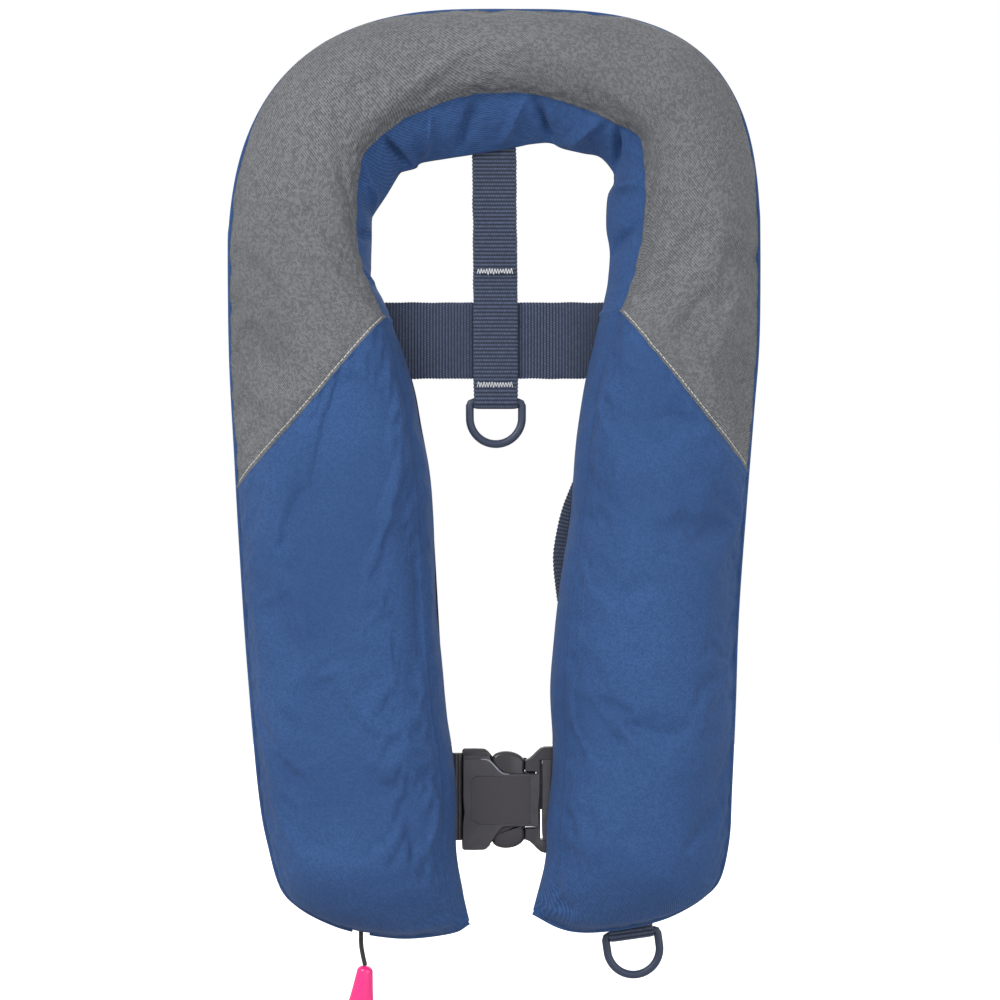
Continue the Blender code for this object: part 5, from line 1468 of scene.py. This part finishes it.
def makeBelts():
    width, low, high = web["beltWidth"], web["buckleLevel"], web["backLevel"]
    back = Ribbon((-web["backReach"], web["backY"], high), (1, 0), width)
    back.follow([(web["backReach"], high)], 30)
    webbingPiece("backBelt", back.stations, width, "belt", "root", "belt_back", seed=2.0)
    for side, sign in signs.items():
        bendX, bendZ = web["bend"][side]
        foldX, topX = sign * web["foldX"], sign * web["topFoldX"]
        belt = Ribbon((sign * web["startX"], web["buckleY"], low), (sign, 0), width)
        belt.follow([(foldX - 16 * sign, low)], 20)
        belt.p[0] = foldX
        first = (mixed(foldX, bendX, 0.64), mixed(low, bendZ, 0.48))
        belt.fold((first[0] - foldX, first[1] - low), (web["middleY"] - web["buckleY"]) / 2, 1)
        nearTop = (mixed(bendX, topX, 0.70), mixed(bendZ, high, 0.72))
        belt.follow([first, (bendX, bendZ), (mixed(bendX, topX, 0.26), mixed(bendZ, high, 0.43)), nearTop])
        belt.t = unit((topX - nearTop[0], 0, high - nearTop[1]))
        belt.fold((-sign, 0), (web["middleY"] - web["backY"]) / 2, -1, exitAt=(topX, high))
        belt.follow([(sign * (web["backReach"] + web["gap"]), high)], 14)
        webbingPiece(f"{side}Belt", belt.stations, width, "belt", "root", f"belt_{side}", seed=3.0 + sign)


ring = {"bar": 4.4, "drop": 27.4, "width": 34.2, "wide": 2.65, "deep": 2.2,
        "back": ((1.2, 32.0, -163.4), 0.0), "front": ((89.6, 23.5, -510.2), 8.0)}


def makeRings():
    radius = ring["width"] / 2
    side = ring["drop"] - radius
    turn = np.linspace(0, np.pi, 40)[1:-1]
    outline = [(x, 0.0) for x in np.linspace(2.4 - radius, radius - 2.4, 12)]
    outline += [(radius - 0.7, -0.7), (radius, -2.4), (radius, -side * 0.6)]
    outline += [(radius * math.cos(t), -side - radius * math.sin(t)) for t in turn]
    outline = np.array(outline + [(-radius, -side * 0.6), (-radius, -2.4), (-radius + 0.7, -0.7)])
    around = np.linspace(0, 2 * np.pi, 20, endpoint=False)
    section = np.stack([np.cos(around) * ring["wide"], np.sin(around) * ring["deep"]], axis=1)
    for name, body in (("back", "harness_ring"), ("front", "crotch_ring")):
        (x, y, z), tilt = ring[name]
        lean = math.radians(tilt)
        turned = np.stack([x + outline[:, 0] * math.cos(lean) - outline[:, 1] * math.sin(lean),
                           z + outline[:, 0] * math.sin(lean) + outline[:, 1] * math.cos(lean)], axis=1)
        line = standing(turned, np.full(len(outline), y))
        made = sweep(f"{name}DRing", line, towardsFront(line), section, finishes["navyPlastic"], closed=True)
        declare(made, body, "plastic_navy", f"{name}_ring")


def makeStrapAndTabs():
    width, layer = web["strapWidth"], ring["bar"] / 2 + web["gap"] + web["thick"] / 2
    sideways = (1, 0, 0)
    (ringX, y, bar), _ = ring["back"]
    frontY, backY, topY = y - layer, y + layer, web["panelY"]
    route = [(0, topY, 24), (0, topY, 2), (0.2, topY + 1.5, -14), (0.5, mixed(topY, frontY, 0.55), -48),
             (0.8, frontY - 0.4, -80), (0.9, frontY, -98), (1.0, frontY, -130), (ringX, y - layer, bar)]
    path = list(smoothLine(route, 10)[:-1])
    path += [(ringX, y + back, bar - out) for back, out in halfTurn(layer)]
    path += [(1.0, backY, -125), (0.9, backY, -98), (0.7, backY - 0.6, -66)]
    foldedPiece("backStrap", "back_strap", path, sideways, width, "strap", 7.0, flutter=0.25)

    place, tilt = ring["front"]
    lean = math.radians(tilt)
    up, across = np.array([-math.sin(lean), 0, math.cos(lean)]), np.array([math.cos(lean), 0, math.sin(lean)])
    centre, back = np.array(place), np.array([0, 1.0, 0])
    path = [centre + up * 30.0 - back * layer] + [centre + back * b - up * o for b, o in halfTurn(layer)]
    path.append(centre + up * 28.0 + back * layer)
    foldedPiece("frontRingTab", "front_ring_tab", path, across, width, "strap", 8.0)

    level, y = web["buckleLevel"], web["buckleY"]
    base, peak, reach = web["panelY"], y + web["thick"] + 0.7, web["beltWidth"] / 2
    upper = [(reach + 16, base), (reach + 7, base), (reach + 3.2, peak - 1.5), (reach - 1, peak)]
    for side, sign in signs.items():
        x = sign * web["loopX"]
        path = [(x, depth, level + z) for z, depth in upper]
        path += [(x, depth, level - z) for z, depth in upper[::-1]]
        foldedPiece(f"{side}BeltLoop", f"belt_loop_{side}", path, sideways, web["loopWidth"], "strap",
                    9.0 + sign)

    layer = web["buckleBar"] / 2 + web["gap"] + web["thick"] / 2
    for name, node, barX, sign, body in (("plugWebbing", "plug_webbing", 35.5, 1, "plug"),
                                         ("housingWebbing", "housing_webbing", -34.5, -1, "root")):
        end = barX + sign * web["endReach"]
        path = [(end, y - layer, level)] + [(barX - sign * out, y + b, level) for b, out in halfTurn(layer)]
        path.append((end, y + layer, level))
        foldedPiece(name, node, path, (0, 0, 1), web["beltWidth"], "belt", 12.0 + sign, body)
    path = [(-112.0, -16.0, z) for z in np.linspace(-185.0, -250.0, 12)]
    foldedPiece("liftingLoop", "lifting_loop", path, sideways, web["liftWidth"], "strap", 14.0)


def makeTacks():
    # dense zigzag stitching through the strap
    frontY = ring["back"][0][1] - ring["bar"] / 2 - web["gap"] - web["thick"] - 0.35
    for name, level, lean in (("upper", -78.0, 3.4), ("lower", -152.0, 0.0)):
        count = 27
        x = np.linspace(-11.6, 11.6, count) + 0.6
        z = level + np.where(np.arange(count) % 2, 1.5, -1.5)
        z = z + np.array([noise.noise(Vector((i * 0.7, level, 2.0))) for i in range(count)]) * 1.1
        y = frontY - lean * 0.93 - 0.15 * (np.arange(count) % 2)
        line = smoothLine(np.stack([x, np.broadcast_to(y, x.shape), z], axis=1), 4)
        thread = roundProfile(0.3, 7)
        made = sweep(f"{name}BarTack", line, towardsFront(line), thread, finishes["whiteThread"])
        declare(made, "root", "thread_white", f"bar_tack_{name}")


makeBelts()
makeRings()
makeStrapAndTabs()
makeTacks()
print("webbing laid")


low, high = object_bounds()
